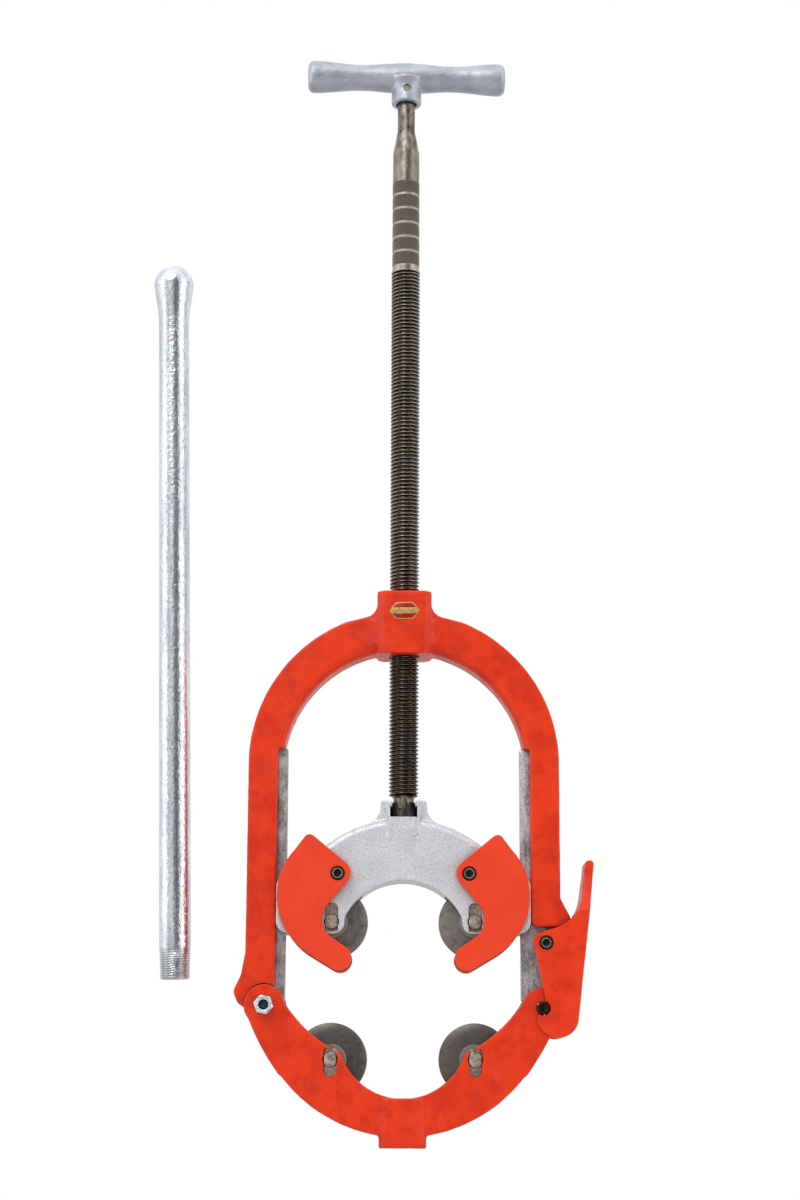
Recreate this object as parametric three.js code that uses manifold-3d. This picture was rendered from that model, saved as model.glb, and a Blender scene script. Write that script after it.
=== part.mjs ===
// Hinged four-wheel pipe cutter for 4 to 6 inch pipe, with its loose pipe handle.
//
// Units are millimetres. +Z runs up the feed screw, +X points to the latch side and -Y is the front.
// Heights are measured from the flat foot under the jaw's handle boss. The finished tool is then set
// down so that its origin is the middle of the handle socket's floor, on the feed screw's axis.
// Outlines are drawn in the X-Z plane as corners [x, z, radius] and extruded along Y, and a "reach"
// is a half depth along Y.

import * as THREE from 'three';
import { mergeVertices } from 'three/addons/utils/BufferGeometryUtils.js';
import loadManifold from 'manifold-3d';

const wasm = await loadManifold();
wasm.setup();

// ---------------------------------------------------------------- driving dimensions

const GAP = 0.35; // running gap between neighbouring pieces
const BEHIND = 1; // sign of the rear side along Y
const AHEAD = -1; // sign of the front side along Y
const LEFT = -1;
const RIGHT = 1;

const arch = { centreZ: 302, outerR: 125, reach: 16, boreCentreZ: 297.5, boreR: 97.5 };
const leg = { innerX: 101.5, footZ: 171.5 };
const way = { innerX: 93.8, reach: 8, topZ: 314, bottomZ: 113.6 };
const boss = { halfWidth: 22, reach: 22, chamfer: 5, topZ: 442.8, bottomZ: 391 };
const badge = { z: 425.8, halfWidth: 12.6, halfHeight: 7, thickness: 0.8 };

const hinge = {
  x: -109.4, z: 109.5, boltR: 4.75, eyeR: 14.3, knuckleR: 16.1, roomGap: 1.2, slotR: 31, hexAcross: 13.6,
};
const latchPivot = { x: 112.8, z: 158.5, screwR: 3.9, headR: 5.2 };
const catchPin = { x: 110, z: 107.6, r: 4.9 };

const jaw = { reach: 20, bellyCentreZ: 129, bellyR: 120.8, innerCentreZ: 175, innerR: 113.5 };
const jawSide = { centreX: -55.4, centreZ: 170.8, r: 191 }; // right outer side, mirrored on the left
const throat = { centreZ: 89.2, r: 51.6 }; // round bottom of the jaw's opening
const foot = {
  halfWidth: 18.6, reach: 21.5, padHalfWidth: 15, topZ: 38, socketR: 13.3, socketDepth: 32,
};

const yoke = { reach: 18, centreZ: 156, outerR: 101, innerR: 51.6, hubTopZ: 272, hubHalfWidth: 18.6 };
const shoe = { outerX: 101.1, topZ: 210, bottomZ: 165.8 };

const wheel = {
  x: 56.9, upperZ: 174.9, lowerZ: 67.7, r: 28.7, hubR: 12.3, hubReach: 9.8, slotReach: 10.25,
};
const wheelPin = {
  r: 5.75, flatWidth: 10.2, pocketWidth: 10.6, pocketDepth: 6, pocketBehind: 7.8, pocketAhead: 14,
};

const screw = { crestR: 12.2, collarR: 10.4, neckR: 8.5, stemR: 7.4, gripR: 11.2 };
const screwZ = { collar: 258.4, neck: 266.7, thread: 277, grip: 724.3, cone: 833, stem: 851, top: 892.5 };

const tee = { z: 901, halfLength: 85.2, endR: 13.7, waistR: 11, middleR: 13.1, waistX: 39.5 };
const teeHub = { r: 12.85, bottomZ: 876.2, boreR: 8.6, boreTopZ: 893, pinR: 2.8, pinZ: 887.1 };
const teeTurn = THREE.MathUtils.degToRad(2); // the tee handle stands slightly turned on its screw axis

const guide = { pivotX: 52.2, pivotZ: 212.3, thickness: 7, reachNear: 20, screwR: 3, headR: 5.5 };
const spring = { wireR: 0.7, coilR: 6.1, pitch: 1.75, turns: 2, pocketR: 8.2, pocketDepth: 4 };

const latchPlate = { reachNear: 20.7, reachFar: 25.7, tailReach: 16, bossR: 9 };

const pipe = {
  r: 12.7, boreR: 9.8, length: 598, threadLength: 27, ballR: 16.7, footX: -181.4, footZ: 130,
};
const pipeLean = THREE.MathUtils.degToRad(1.5);

// ---------------------------------------------------------------- finishes

function finish(color, roughness, metalness) {
  return new THREE.MeshStandardMaterial({ color, roughness, metalness });
}

const redPaint = finish(0xd8341c, 0.38, 0.0);
const orangePaint = finish(0xe4442a, 0.5, 0.0);
const silverPaint = finish(0xc3c6ca, 0.4, 0.5);
const castZinc = finish(0xa8adb3, 0.45, 0.8);
const darkSteel = finish(0x4a443c, 0.42, 0.9);
const wheelSteel = finish(0x6a655e, 0.35, 0.9);
const pinSteel = finish(0x8f8a82, 0.4, 0.9);
const blackOxide = finish(0x1c1b1a, 0.45, 0.6);
const zincPlate = finish(0xb9bec4, 0.3, 0.9);
const springSteel = finish(0x6e5a33, 0.4, 0.9);
const badgeEnamel = finish(0x7a1410, 0.4, 0.2);

// ---------------------------------------------------------------- outlines

/** Points of a closed outline whose corners [x, z, radius] are rounded where a radius is given. */
function outline(corners, side = RIGHT) {
  const at = (i) => new THREE.Vector2(...corners[(i + corners.length) % corners.length]);
  const points = [];
  corners.forEach(([, , radius = 0], i) => {
    const here = at(i);
    if (radius === 0) {
      points.push(here);
      return;
    }
    const toBefore = at(i - 1).sub(here).normalize();
    const toAfter = at(i + 1).sub(here).normalize();
    const half = Math.acos(toBefore.dot(toAfter)) / 2;
    const bisector = toBefore.clone().add(toAfter).normalize();
    const centre = here.clone().addScaledVector(bisector, radius / Math.sin(half));
    const start = here.clone().addScaledVector(toBefore, radius / Math.tan(half)).sub(centre);
    const turn = Math.PI - 2 * half;
    const steps = Math.max(2, Math.ceil(turn / 0.42));
    const sense = Math.sign(toAfter.cross(toBefore));
    for (let k = 0; k <= steps; k += 1) {
      const swept = sense * turn * (k / steps);
      points.push(start.clone().rotateAround(new THREE.Vector2(), swept).add(centre));
    }
  });
  return new THREE.Shape(points.map((p) => new THREE.Vector2(p.x * side, p.y)));
}

/** Corners along an arc between two angles in degrees, counterclockwise when seen from the front. */
function arc(centreX, centreZ, radius, fromDeg, toDeg, steps) {
  const corners = [];
  for (let k = 0; k <= steps; k += 1) {
    const angle = THREE.MathUtils.degToRad(fromDeg + ((toDeg - fromDeg) * k) / steps);
    corners.push([centreX + radius * Math.cos(angle), centreZ + radius * Math.sin(angle)]);
  }
  return corners;
}

function mirrored(corners) {
  return corners.map(([x, z, radius]) => [-x, z, radius]).reverse();
}

function rectangle(x0, x1, z0, z1, radius = 0) {
  return [[x0, z0, radius], [x1, z0, radius], [x1, z1, radius], [x0, z1, radius]];
}

// ---------------------------------------------------------------- solids

/** The geometry's positions and triangles, shared corners merged and collapsed triangles dropped. */
function welded(geometry) {
  const bare = geometry.clone();
  bare.deleteAttribute('normal');
  bare.deleteAttribute('uv');
  const merged = mergeVertices(bare, 1e-4);
  const triangles = [];
  for (let i = 0; i < merged.index.count; i += 3) {
    const [a, b, c] = merged.index.array.slice(i, i + 3);
    if (a !== b && b !== c && c !== a) triangles.push(a, b, c);
  }
  const positions = new Float32Array(merged.attributes.position.array);
  return { positions, triangles: new Uint32Array(triangles) };
}

function solid(geometry) {
  const { positions, triangles } = welded(geometry);
  return new wasm.Manifold(new wasm.Mesh({ numProp: 3, vertProperties: positions, triVerts: triangles }));
}

function geometryOf(body) {
  const mesh = body.getMesh();
  const geometry = new THREE.BufferGeometry();
  geometry.setAttribute('position', new THREE.BufferAttribute(new Float32Array(mesh.vertProperties), 3));
  geometry.setIndex(new THREE.BufferAttribute(new Uint32Array(mesh.triVerts), 1));
  return geometry;
}

function joined(...bodies) {
  return bodies.reduce((whole, body) => whole.add(body));
}

function without(body, ...cutters) {
  return cutters.reduce((rest, cutter) => rest.subtract(cutter), body);
}

/** A solid between two depths, y0 in front and y1 behind, from an outline in the X-Z plane. */
function plate(corners, y0, y1, side = RIGHT) {
  const geometry = new THREE.ExtrudeGeometry(outline(corners, side), { depth: y1 - y0, bevelEnabled: false });
  geometry.rotateX(Math.PI / 2);
  geometry.translate(0, y1, 0);
  return solid(geometry);
}

function slab(corners, reach, side = RIGHT) {
  return plate(corners, -reach, reach, side);
}

/** A round bar along Y between two depths. */
function crossBar(x, z, radius, y0, y1, sides = 20) {
  const geometry = new THREE.CylinderGeometry(radius, radius, y1 - y0, sides);
  geometry.translate(x, (y0 + y1) / 2, z);
  return solid(geometry);
}

/** A round bar along Z between two heights. */
function uprightBar(radius, z0, z1, sides = 24) {
  const geometry = new THREE.CylinderGeometry(radius, radius, z1 - z0, sides);
  geometry.rotateX(Math.PI / 2);
  geometry.translate(0, 0, (z0 + z1) / 2);
  return solid(geometry);
}

/** A six-sided bar along Y, measured across its flats. */
function hexBar(x, z, across, y0, y1) {
  return crossBar(x, z, across / Math.sqrt(3), y0, y1, 6);
}

function block(x0, x1, y0, y1, z0, z1) {
  const geometry = new THREE.BoxGeometry(x1 - x0, y1 - y0, z1 - z0);
  geometry.translate((x0 + x1) / 2, (y0 + y1) / 2, (z0 + z1) / 2);
  return solid(geometry);
}

/** A turned piece along +Z from a profile of [radius, z] that starts and ends on the axis, or closes. */
function turned(profile, sides = 24) {
  const geometry = new THREE.LatheGeometry(profile.map(([r, z]) => new THREE.Vector2(r, z)), sides);
  geometry.rotateX(Math.PI / 2);
  return geometry;
}

/** The two depths of a layer that lies between two reaches, on the front or the rear side. */
function layer(face, near, far) {
  return face === AHEAD ? [-far, -near] : [near, far];
}

// ---------------------------------------------------------------- the tool

const tool = new THREE.Group();

function place(name, shape, material, parent = tool) {
  const geometry = shape instanceof THREE.BufferGeometry ? shape : geometryOf(shape);
  const mesh = new THREE.Mesh(geometry, material);
  mesh.name = name;
  parent.add(mesh);
  return mesh;
}

// ---------------------------------------------------------------- upper frame

/** The full-depth casting: arch, legs and the flares into the boss. */
function archAndLegs() {
  const outerLeft = arc(0, arch.centreZ, arch.outerR, 180, 112, 10);
  const outerRight = mirrored(outerLeft);
  const bore = arc(0, arch.boreCentreZ, arch.boreR, 12, 168, 20);
  return slab([
    [-arch.outerR, 149, 10],
    ...outerLeft,
    [-boss.halfWidth, 424, 12],
    [-boss.halfWidth, boss.topZ - 2],
    [boss.halfWidth, boss.topZ - 2],
    [boss.halfWidth, 424, 12],
    ...outerRight,
    [arch.outerR, 194, 8],
    [133, 179, 4],
    [131.5, leg.footZ, 4],
    [leg.innerX, leg.footZ, 6],
    [leg.innerX, way.topZ],
    [95.6, way.topZ],
    ...bore,
    [-95.6, way.topZ],
    [-leg.innerX, way.topZ],
    [-leg.innerX, hinge.z],
    [-123, hinge.z],
    [-123, 119.8],
    [-131.5, 119.8, 2],
    [-133.5, 127, 4],
  ], arch.reach);
}

/** The thinner machined layer: both ways, the hinge eye with its lug, and the latch tongue. */
function waysAndTongues() {
  const leftWay = slab(rectangle(-108, -way.innerX, way.bottomZ, way.topZ + 4), way.reach);
  const eye = crossBar(hinge.x, hinge.z, hinge.eyeR, -way.reach, way.reach);
  const lug = slab([
    [-112, 152],
    [-124, 150],
    [-131.8, 130, 4],
    [-134.6, 120.5, 3],
    [-132.5, 112, 4],
    [-122, 103],
    [-104, 112],
  ], way.reach);
  const rightWay = slab(rectangle(way.innerX, 108, 168, way.topZ + 4), way.reach);
  const tongue = slab([
    [way.innerX, way.bottomZ + 0.6],
    [122, way.bottomZ + 0.6, 5],
    [127, 140, 6],
    [127, 180],
    [way.innerX, 180],
  ], way.reach);
  return joined(leftWay, eye, lug, rightWay, tongue);
}

function feedBoss() {
  const { halfWidth: w, reach: d, chamfer: c } = boss;
  const ring = new THREE.Shape([
    [c - w, -d], [w - c, -d], [w, c - d], [w, d - c], [w - c, d], [c - w, d], [-w, d - c], [-w, c - d],
  ].map(([x, y]) => new THREE.Vector2(x, y)));
  const depth = boss.topZ - boss.bottomZ;
  const geometry = new THREE.ExtrudeGeometry(ring, { depth, bevelEnabled: false });
  geometry.translate(0, 0, boss.bottomZ);
  return solid(geometry);
}

function buildUpperFrame() {
  const roomR = hinge.knuckleR + hinge.roomGap;
  const knuckleRoom = crossBar(hinge.x, hinge.z, roomR, -arch.reach - 1, arch.reach + 1, 28);
  const feedBore = uprightBar(screw.crestR + GAP + 0.1, boss.bottomZ - 20, boss.topZ + 1);
  const hingeBore = crossBar(hinge.x, hinge.z, hinge.boltR + GAP, -20, 20, 20);
  const latchBore = crossBar(latchPivot.x, latchPivot.z, latchPivot.screwR + GAP, -20, 20, 16);
  const casting = joined(without(archAndLegs(), knuckleRoom), waysAndTongues(), feedBoss());
  place('upper_frame', without(casting, feedBore, hingeBore, latchBore), redPaint);
}

function buildBadge() {
  const { halfWidth: w, halfHeight: h } = badge;
  const flat = w * 0.62;
  const corners = [[-w, 0, 1.5], [-flat, -h, 6], [flat, -h, 6], [w, 0, 1.5], [flat, h, 6], [-flat, h, 6]];
  const front = -boss.reach - GAP - badge.thickness;
  const placed = corners.map(([x, z, r]) => [x, z + badge.z, r]);
  place('badge_plate', plate(placed, front, front + badge.thickness), badgeEnamel);
}

// ---------------------------------------------------------------- wheels and their pockets

const wheelPlaces = [
  { name: 'upper_left', x: -wheel.x, z: wheel.upperZ, reach: yoke.reach, pocketUp: true },
  { name: 'upper_right', x: wheel.x, z: wheel.upperZ, reach: yoke.reach, pocketUp: true },
  { name: 'lower_left', x: -wheel.x, z: wheel.lowerZ, reach: jaw.reach, pocketUp: false },
  { name: 'lower_right', x: wheel.x, z: wheel.lowerZ, reach: jaw.reach, pocketUp: false },
];

/** What a wheel's carrier loses: the wheel slot, the pin bore and the two pin pockets. */
function wheelCutters({ x, z, reach, pocketUp }) {
  const bore = wheelPin.r + GAP;
  const half = wheelPin.pocketWidth / 2;
  const up = pocketUp ? 1 : -1;
  const near = z - up * wheelPin.pocketBehind;
  const far = z + up * wheelPin.pocketAhead;
  const corners = rectangle(x - half, x + half, Math.min(near, far), Math.max(near, far), half - 0.5);
  const floor = reach - wheelPin.pocketDepth;
  const pockets = [AHEAD, BEHIND].map((face) => plate(corners, ...layer(face, floor, reach + 1)));
  const slot = crossBar(x, z, wheel.r + 2.8, -wheel.slotReach, wheel.slotReach, 30);
  return [slot, crossBar(x, z, bore, -reach - 1, reach + 1), ...pockets];
}

function cutterWheel() {
  const { r, hubR, hubReach } = wheel;
  const bore = wheelPin.r + GAP;
  return turned([
    [bore, -hubReach], [hubR, -hubReach], [hubR, -2.6], [r - 4.5, -2.1], [r, -0.15],
    [r, 0.15], [r - 4.5, 2.1], [hubR, 2.6], [hubR, hubReach], [bore, hubReach],
    [bore, -hubReach],
  ], 28);
}

/** A wheel pin along Y with two flats at each end, which sit in the pockets and stop it from turning. */
function flattedPin(reach) {
  const round = crossBar(0, 0, wheelPin.r, -reach, reach);
  const flatFrom = yoke.reach - wheelPin.pocketDepth - GAP;
  const half = wheelPin.flatWidth / 2;
  const shavings = [AHEAD, BEHIND].flatMap((face) => [LEFT, RIGHT].map((side) => {
    const [y0, y1] = layer(face, flatFrom, reach + 1);
    const x0 = side === LEFT ? -half - 5 : half;
    return block(x0, x0 + 5, y0, y1, -10, 10);
  }));
  return without(round, ...shavings);
}

function buildWheels() {
  for (const spot of wheelPlaces) {
    const disc = place(`${spot.name}_cutter_wheel`, cutterWheel(), wheelSteel);
    disc.rotation.x = Math.PI / 2;
    disc.position.set(spot.x, 0, spot.z);
    const axle = place(`${spot.name}_wheel_pin`, flattedPin(spot.reach - 1), pinSteel);
    axle.position.set(spot.x, 0, spot.z);
  }
}

// ---------------------------------------------------------------- lower jaw

function jawBand() {
  const belly = arc(0, jaw.bellyCentreZ, jaw.bellyR, -142, -38, 16);
  const side = arc(jawSide.centreX, jawSide.centreZ, jawSide.r, -37.1, -19.8, 3);
  const lobe = arc(catchPin.x, catchPin.z, hinge.knuckleR, 20, 150, 8);
  const shoulder = arc(0, jaw.innerCentreZ, jaw.innerR, -34.6, -59.5, 4);
  const bed = arc(0, throat.centreZ, throat.r, -20, -160, 12);
  return slab([
    ...mirrored(side),
    ...belly,
    ...side,
    ...lobe,
    ...shoulder,
    [49.4, 73.3, 3],
    ...bed,
    [-49.4, 73.3, 3],
    ...mirrored(shoulder),
  ], jaw.reach);
}

function handleBoss() {
  const { halfWidth: w, reach: d, padHalfWidth: p, topZ } = foot;
  const body = block(-w, w, -jaw.reach, jaw.reach, 0, topZ);
  const pad = block(-p, p, -d, d, 0, topZ);
  return joined(body, pad);
}

function buildLowerJaw() {
  const knuckle = crossBar(hinge.x, hinge.z, hinge.knuckleR, -jaw.reach, jaw.reach, 28);
  const hingeSlot = crossBar(hinge.x, hinge.z, hinge.slotR, -wheel.slotReach, wheel.slotReach, 28);
  const latchSlot = block(89, 135, -wheel.slotReach, wheel.slotReach, 99.5, 130);
  const hingeBore = crossBar(hinge.x, hinge.z, hinge.boltR + GAP, -30, 30, 20);
  const catchBore = crossBar(catchPin.x, catchPin.z, catchPin.r + GAP, -30, 30);
  const socket = uprightBar(foot.socketR, -1, foot.socketDepth);
  const wheelRoom = wheelPlaces.filter((spot) => !spot.pocketUp).flatMap(wheelCutters);
  const casting = joined(jawBand(), knuckle, handleBoss());
  const bores = [hingeBore, catchBore, socket];
  place('lower_jaw', without(casting, hingeSlot, latchSlot, ...bores, ...wheelRoom), redPaint);
}

function buildCatchPin() {
  const end = jaw.reach - 0.3;
  const bar = crossBar(catchPin.x, catchPin.z, catchPin.r, -end, end);
  place('catch_pin', without(bar, hexBar(catchPin.x, catchPin.z, 4.8, -end - 1, 3 - end)), blackOxide);
}

function buildHinge() {
  const seat = jaw.reach + GAP;
  const shank = crossBar(hinge.x, hinge.z, hinge.boltR, -seat - 4.5, seat + 1, 20);
  const head = hexBar(hinge.x, hinge.z, hinge.hexAcross, seat, seat + 6.5);
  place('hinge_bolt', joined(shank, head), zincPlate);
  const nut = hexBar(hinge.x, hinge.z, hinge.hexAcross, -seat - 6.5, -seat);
  const thread = crossBar(hinge.x, hinge.z, hinge.boltR + GAP, -seat - 8, 0, 20);
  place('hinge_nut', without(nut, thread), zincPlate);
}

// ---------------------------------------------------------------- latch

function latchOutline() {
  const { x, z, r } = catchPin;
  return [
    [152.4, 224.6, 3.4],
    [137.9, 101.2],
    ...arc(121.4, 101.2, 16.5, -10, -165, 9),
    ...arc(x, z, r + 0.8, 232, 430, 9),
    [101.8, 164.1, 6],
    [139.4, 176.6, 30],
    [145.2, 224.6, 3.4],
  ];
}

/** The hollow behind the cheeks that clears the leg, the tongue and the jaw's end. */
function latchHollow() {
  return slab([
    [90, 60],
    [129, 60],
    [131.4, 101],
    [137.4, 156],
    [138.2, 186, 4],
    [120, 192],
    [90, 192],
  ], latchPlate.reachNear);
}

function buildLatch() {
  const { reachNear, reachFar, tailReach, bossR } = latchPlate;
  const { x, z, screwR, headR } = latchPivot;
  const sides = [AHEAD, BEHIND];
  const shell = without(slab(latchOutline(), reachFar), latchHollow());
  const bossNear = way.reach + GAP + 0.1;
  const bosses = sides.map((face) => crossBar(x, z, bossR, ...layer(face, bossNear, reachNear + 1)));
  const tailTrim = sides.map((face) => block(120, 160, ...layer(face, tailReach, reachFar + 1), 197, 230));
  const bore = crossBar(x, z, screwR + GAP, -reachFar - 1, reachFar + 1, 16);
  const headSeat = crossBar(x, z, headR + GAP, -reachFar - 1, -reachFar + 3);
  place('latch', without(joined(shell, ...bosses), ...tailTrim, bore, headSeat), redPaint);
  const head = crossBar(x, z, headR, -reachFar - 0.4, -reachFar + 2.6);
  const shank = crossBar(x, z, screwR, -reachFar + 2, reachFar - 0.6, 16);
  const socket = hexBar(x, z, 4.8, -reachFar - 1, -reachFar + 1.8);
  place('latch_pivot_screw', without(joined(head, shank), socket), blackOxide);
}

// ---------------------------------------------------------------- wheel yoke

/** Right half of the yoke's outline, from the crown's inner arc round to the top of the hub. */
function yokeHalf() {
  return [
    ...arc(0, yoke.centreZ, yoke.innerR, 90, 26, 7),
    [47.1, wheel.upperZ - 9.7, 9.2],
    [86, shoe.bottomZ],
    [shoe.outerX, shoe.bottomZ, 9],
    [shoe.outerX, shoe.topZ, 5],
    ...arc(0, yoke.centreZ, yoke.outerR, 30, 76, 7),
    [yoke.hubHalfWidth, 254.8, 5],
    [yoke.hubHalfWidth, yoke.hubTopZ, 2],
  ];
}

/** The T-shaped window that takes the screw's collar from the front. */
function collarWindow() {
  const rounds = [[screw.collarR + 0.5, 258, 267.1], [screw.neckR + 0.7, 266, yoke.hubTopZ + 1]];
  return rounds.flatMap(([r, z0, z1]) => [uprightBar(r, z0, z1), block(-r, r, -30, 0, z0, z1)]);
}

function buildYoke() {
  const half = yokeHalf();
  const [crown, ...rest] = half;
  const body = slab([crown, ...rest, ...mirrored(rest)], yoke.reach);
  const padHalf = yoke.hubHalfWidth - 2;
  const pad = slab(rectangle(-padHalf, padHalf, 241, yoke.hubTopZ, 2), yoke.reach + 2);
  const wayRoom = [LEFT, RIGHT].map((side) => slab(
    rectangle(way.innerX - GAP - 0.15, 110, 150, 230),
    way.reach + GAP,
    side,
  ));
  const screwHoles = guidePlaces.map(({ x, face }) => {
    const depths = layer(face, yoke.reach - 8, yoke.reach + 1);
    return crossBar(x, guide.pivotZ, guide.screwR + GAP, ...depths, 14);
  });
  const wheelRoom = wheelPlaces.filter((spot) => spot.pocketUp).flatMap(wheelCutters);
  const cutters = [...wayRoom, ...screwHoles, ...wheelRoom, ...collarWindow()];
  place('wheel_yoke', without(joined(body, pad), ...cutters), silverPaint);
}

// ---------------------------------------------------------------- pipe guides

const guidePlaces = [AHEAD, BEHIND].flatMap((face) => [LEFT, RIGHT].map((side) => ({
  name: `${face === AHEAD ? 'front' : 'rear'}_${side === LEFT ? 'left' : 'right'}`,
  x: side * guide.pivotX,
  side,
  face,
})));

function guideOutline() {
  return [
    [37.8, 214.2, 10],
    [72.3, 172.5, 17],
    [37.4, 149.2, 9.3],
    [47.8, 133.2, 9.3],
    ...arc(46.5, 195, 53.7, -60, 43, 9),
    [75.6, 245.3, 5],
  ];
}

/** A wire coil round the guide's pivot, with one leg that runs up to the guide's top edge. */
function guideSpring(side, face) {
  const points = [];
  const steps = 14;
  const legAngle = THREE.MathUtils.degToRad(60);
  const y = (along) => face * (guide.reachNear - 0.95 + along * spring.pitch);
  for (let k = steps * spring.turns; k >= 0; k -= 1) {
    const angle = legAngle - Math.PI / 2 + (2 * Math.PI * k) / steps;
    const across = spring.coilR * Math.cos(angle);
    points.push(new THREE.Vector3(across, y(k / steps), spring.coilR * Math.sin(angle)));
  }
  const leg = new THREE.Vector3(Math.cos(legAngle), 0, Math.sin(legAngle));
  const last = points.at(-1);
  points.push(last.clone().addScaledVector(leg, 12), last.clone().addScaledVector(leg, 30));
  const path = new THREE.CatmullRomCurve3(points.map((p) => new THREE.Vector3(side * p.x, p.y, p.z)));
  const wire = new THREE.Shape().absarc(0, 0, spring.wireR, 0, 2 * Math.PI, false);
  return new THREE.ExtrudeGeometry(wire, { steps: 36, curveSegments: 2, extrudePath: path });
}

function buildGuides() {
  const { thickness, reachNear, screwR, headR, pivotZ } = guide;
  const far = reachNear + thickness;
  for (const { name, x, side, face } of guidePlaces) {
    const body = plate(guideOutline(), ...layer(face, reachNear, far), side);
    const bore = crossBar(x, pivotZ, screwR + GAP, ...layer(face, reachNear - 1, far + 1), 14);
    const headSeat = crossBar(x, pivotZ, headR + GAP, ...layer(face, far - 2.4, far + 1), 18);
    const coilDepths = layer(face, reachNear - 1, reachNear + spring.pocketDepth);
    const coilRoom = crossBar(x, pivotZ, spring.pocketR, ...coilDepths, 18);
    place(`${name}_guide`, without(body, bore, headSeat, coilRoom), orangePaint);

    const head = crossBar(x, pivotZ, headR, ...layer(face, far - 2.1, far + 0.9), 18);
    const shank = crossBar(x, pivotZ, screwR, ...layer(face, yoke.reach - 7, far - 1), 14);
    const socket = hexBar(x, pivotZ, 5, ...layer(face, far - 1, far + 2));
    place(`${name}_guide_screw`, without(joined(head, shank), socket), blackOxide);

    const coil = place(`${name}_guide_spring`, guideSpring(side, face), springSteel);
    coil.position.set(x, 0, pivotZ);
  }
}

// ---------------------------------------------------------------- feed screw and tee handle

const feedGroup = new THREE.Group();
feedGroup.rotation.z = teeTurn;
tool.add(feedGroup);

function feedScrewBody() {
  const { crestR, collarR, neckR, stemR, gripR } = screw;
  const { collar, neck, thread, grip, cone, stem, top } = screwZ;
  return solid(turned([
    [0, collar], [collarR - 0.6, collar], [collarR, collar + 0.6], [collarR, neck],
    [neckR, neck], [neckR, thread - 2], [neckR + 1, thread],
    [crestR, thread + 2], [crestR, grip - 2], [gripR, grip - 0.5], [gripR, cone],
    [stemR, stem], [stemR, top - 1], [stemR - 1, top], [0, top],
  ]));
}

function teeProfile() {
  const { halfLength, endR, waistR, middleR, waistX } = tee;
  const half = [];
  const steps = 7;
  for (let k = 1; k <= steps; k += 1) {
    const x = (halfLength - 4) * (k / steps);
    const toWaist = Math.min(x / waistX, 1);
    const toEnd = Math.max((x - waistX) / (halfLength - 4 - waistX), 0);
    const swell = (t) => (1 - Math.cos(Math.PI * t)) / 2;
    half.push([middleR + (waistR - middleR) * swell(toWaist) + (endR - waistR) * swell(toEnd), x]);
  }
  half.push([endR - 1.2, halfLength - 1.4], [endR - 4, halfLength], [0, halfLength]);
  return [...half.map(([r, x]) => [r, -x]).reverse(), [middleR, 0], ...half];
}

function buildFeed() {
  const crossHole = crossBar(0, teeHub.pinZ, teeHub.pinR + GAP, -20, 20, 14);
  place('feed_screw', without(feedScrewBody(), crossHole), darkSteel, feedGroup);

  const bar = turned(teeProfile());
  bar.rotateY(Math.PI / 2);
  bar.translate(0, 0, tee.z);
  const hub = uprightBar(teeHub.r, teeHub.bottomZ, tee.z);
  const bore = uprightBar(teeHub.boreR, teeHub.bottomZ - 1, teeHub.boreTopZ);
  place('t_handle', without(joined(solid(bar), hub), bore, crossHole), castZinc, feedGroup);

  const pinEnd = teeHub.r - 0.6;
  place('t_handle_pin', crossBar(0, teeHub.pinZ, teeHub.pinR, -pinEnd, pinEnd, 14), darkSteel, feedGroup);
}

// ---------------------------------------------------------------- loose pipe handle

function buildPipeHandle() {
  const { r, boreR, length, threadLength, ballR } = pipe;
  const ballZ = length - ballR;
  const cap = arc(0, 0, ballR, -10, 90, 6).map(([x, z]) => [Math.max(x, 0), ballZ + z]);
  cap[cap.length - 1][0] = 0;
  const body = turned([
    [0, length - 40], [boreR, length - 46], [boreR, 0], [r - 1.1, 0], [r - 0.3, 2],
    [r, threadLength], [r, length - 48], [r + 0.6, length - 38], ...cap,
  ]);
  const handle = place('pipe_handle', body, zincPlate);
  handle.position.set(pipe.footX, 0, pipe.footZ);
  handle.rotation.y = -pipeLean;
}

buildUpperFrame();
buildBadge();
buildLowerJaw();
buildCatchPin();
buildHinge();
buildLatch();
buildYoke();
buildWheels();
buildGuides();
buildFeed();
buildPipeHandle();

tool.position.z = -foot.socketDepth;

export default tool;
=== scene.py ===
"""Looks for a hinged four-wheel pipe cutter with its loose pipe handle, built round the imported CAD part.

Shapes are worked out in millimetres with heights from the flat foot under the jaw, as the CAD source does, and
finished() brings every mesh into the frame's metres. Places come from the CAD nodes' own boxes. A corner of an outline
is (x, z) or (x, z, rounding radius), and a turned piece's profile is made of (radius, place along the axis).
"""

import math

import bmesh
import bpy
import numpy as np
from mathutils import Matrix, Vector, noise


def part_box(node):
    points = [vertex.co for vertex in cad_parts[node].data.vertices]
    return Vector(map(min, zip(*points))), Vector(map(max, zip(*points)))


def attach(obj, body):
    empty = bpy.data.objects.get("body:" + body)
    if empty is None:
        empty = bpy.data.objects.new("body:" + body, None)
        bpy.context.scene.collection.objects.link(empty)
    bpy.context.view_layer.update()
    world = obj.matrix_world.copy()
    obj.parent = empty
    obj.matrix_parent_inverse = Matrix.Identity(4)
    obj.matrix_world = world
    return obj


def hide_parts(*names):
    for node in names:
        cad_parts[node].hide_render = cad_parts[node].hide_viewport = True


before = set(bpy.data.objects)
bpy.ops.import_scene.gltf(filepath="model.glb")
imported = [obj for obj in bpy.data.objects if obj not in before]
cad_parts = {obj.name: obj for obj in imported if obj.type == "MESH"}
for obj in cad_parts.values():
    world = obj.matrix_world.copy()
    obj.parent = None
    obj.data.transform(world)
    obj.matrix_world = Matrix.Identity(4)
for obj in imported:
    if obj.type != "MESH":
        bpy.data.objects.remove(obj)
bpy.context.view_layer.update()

# ---- the frame's own places, in millimetres

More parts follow.
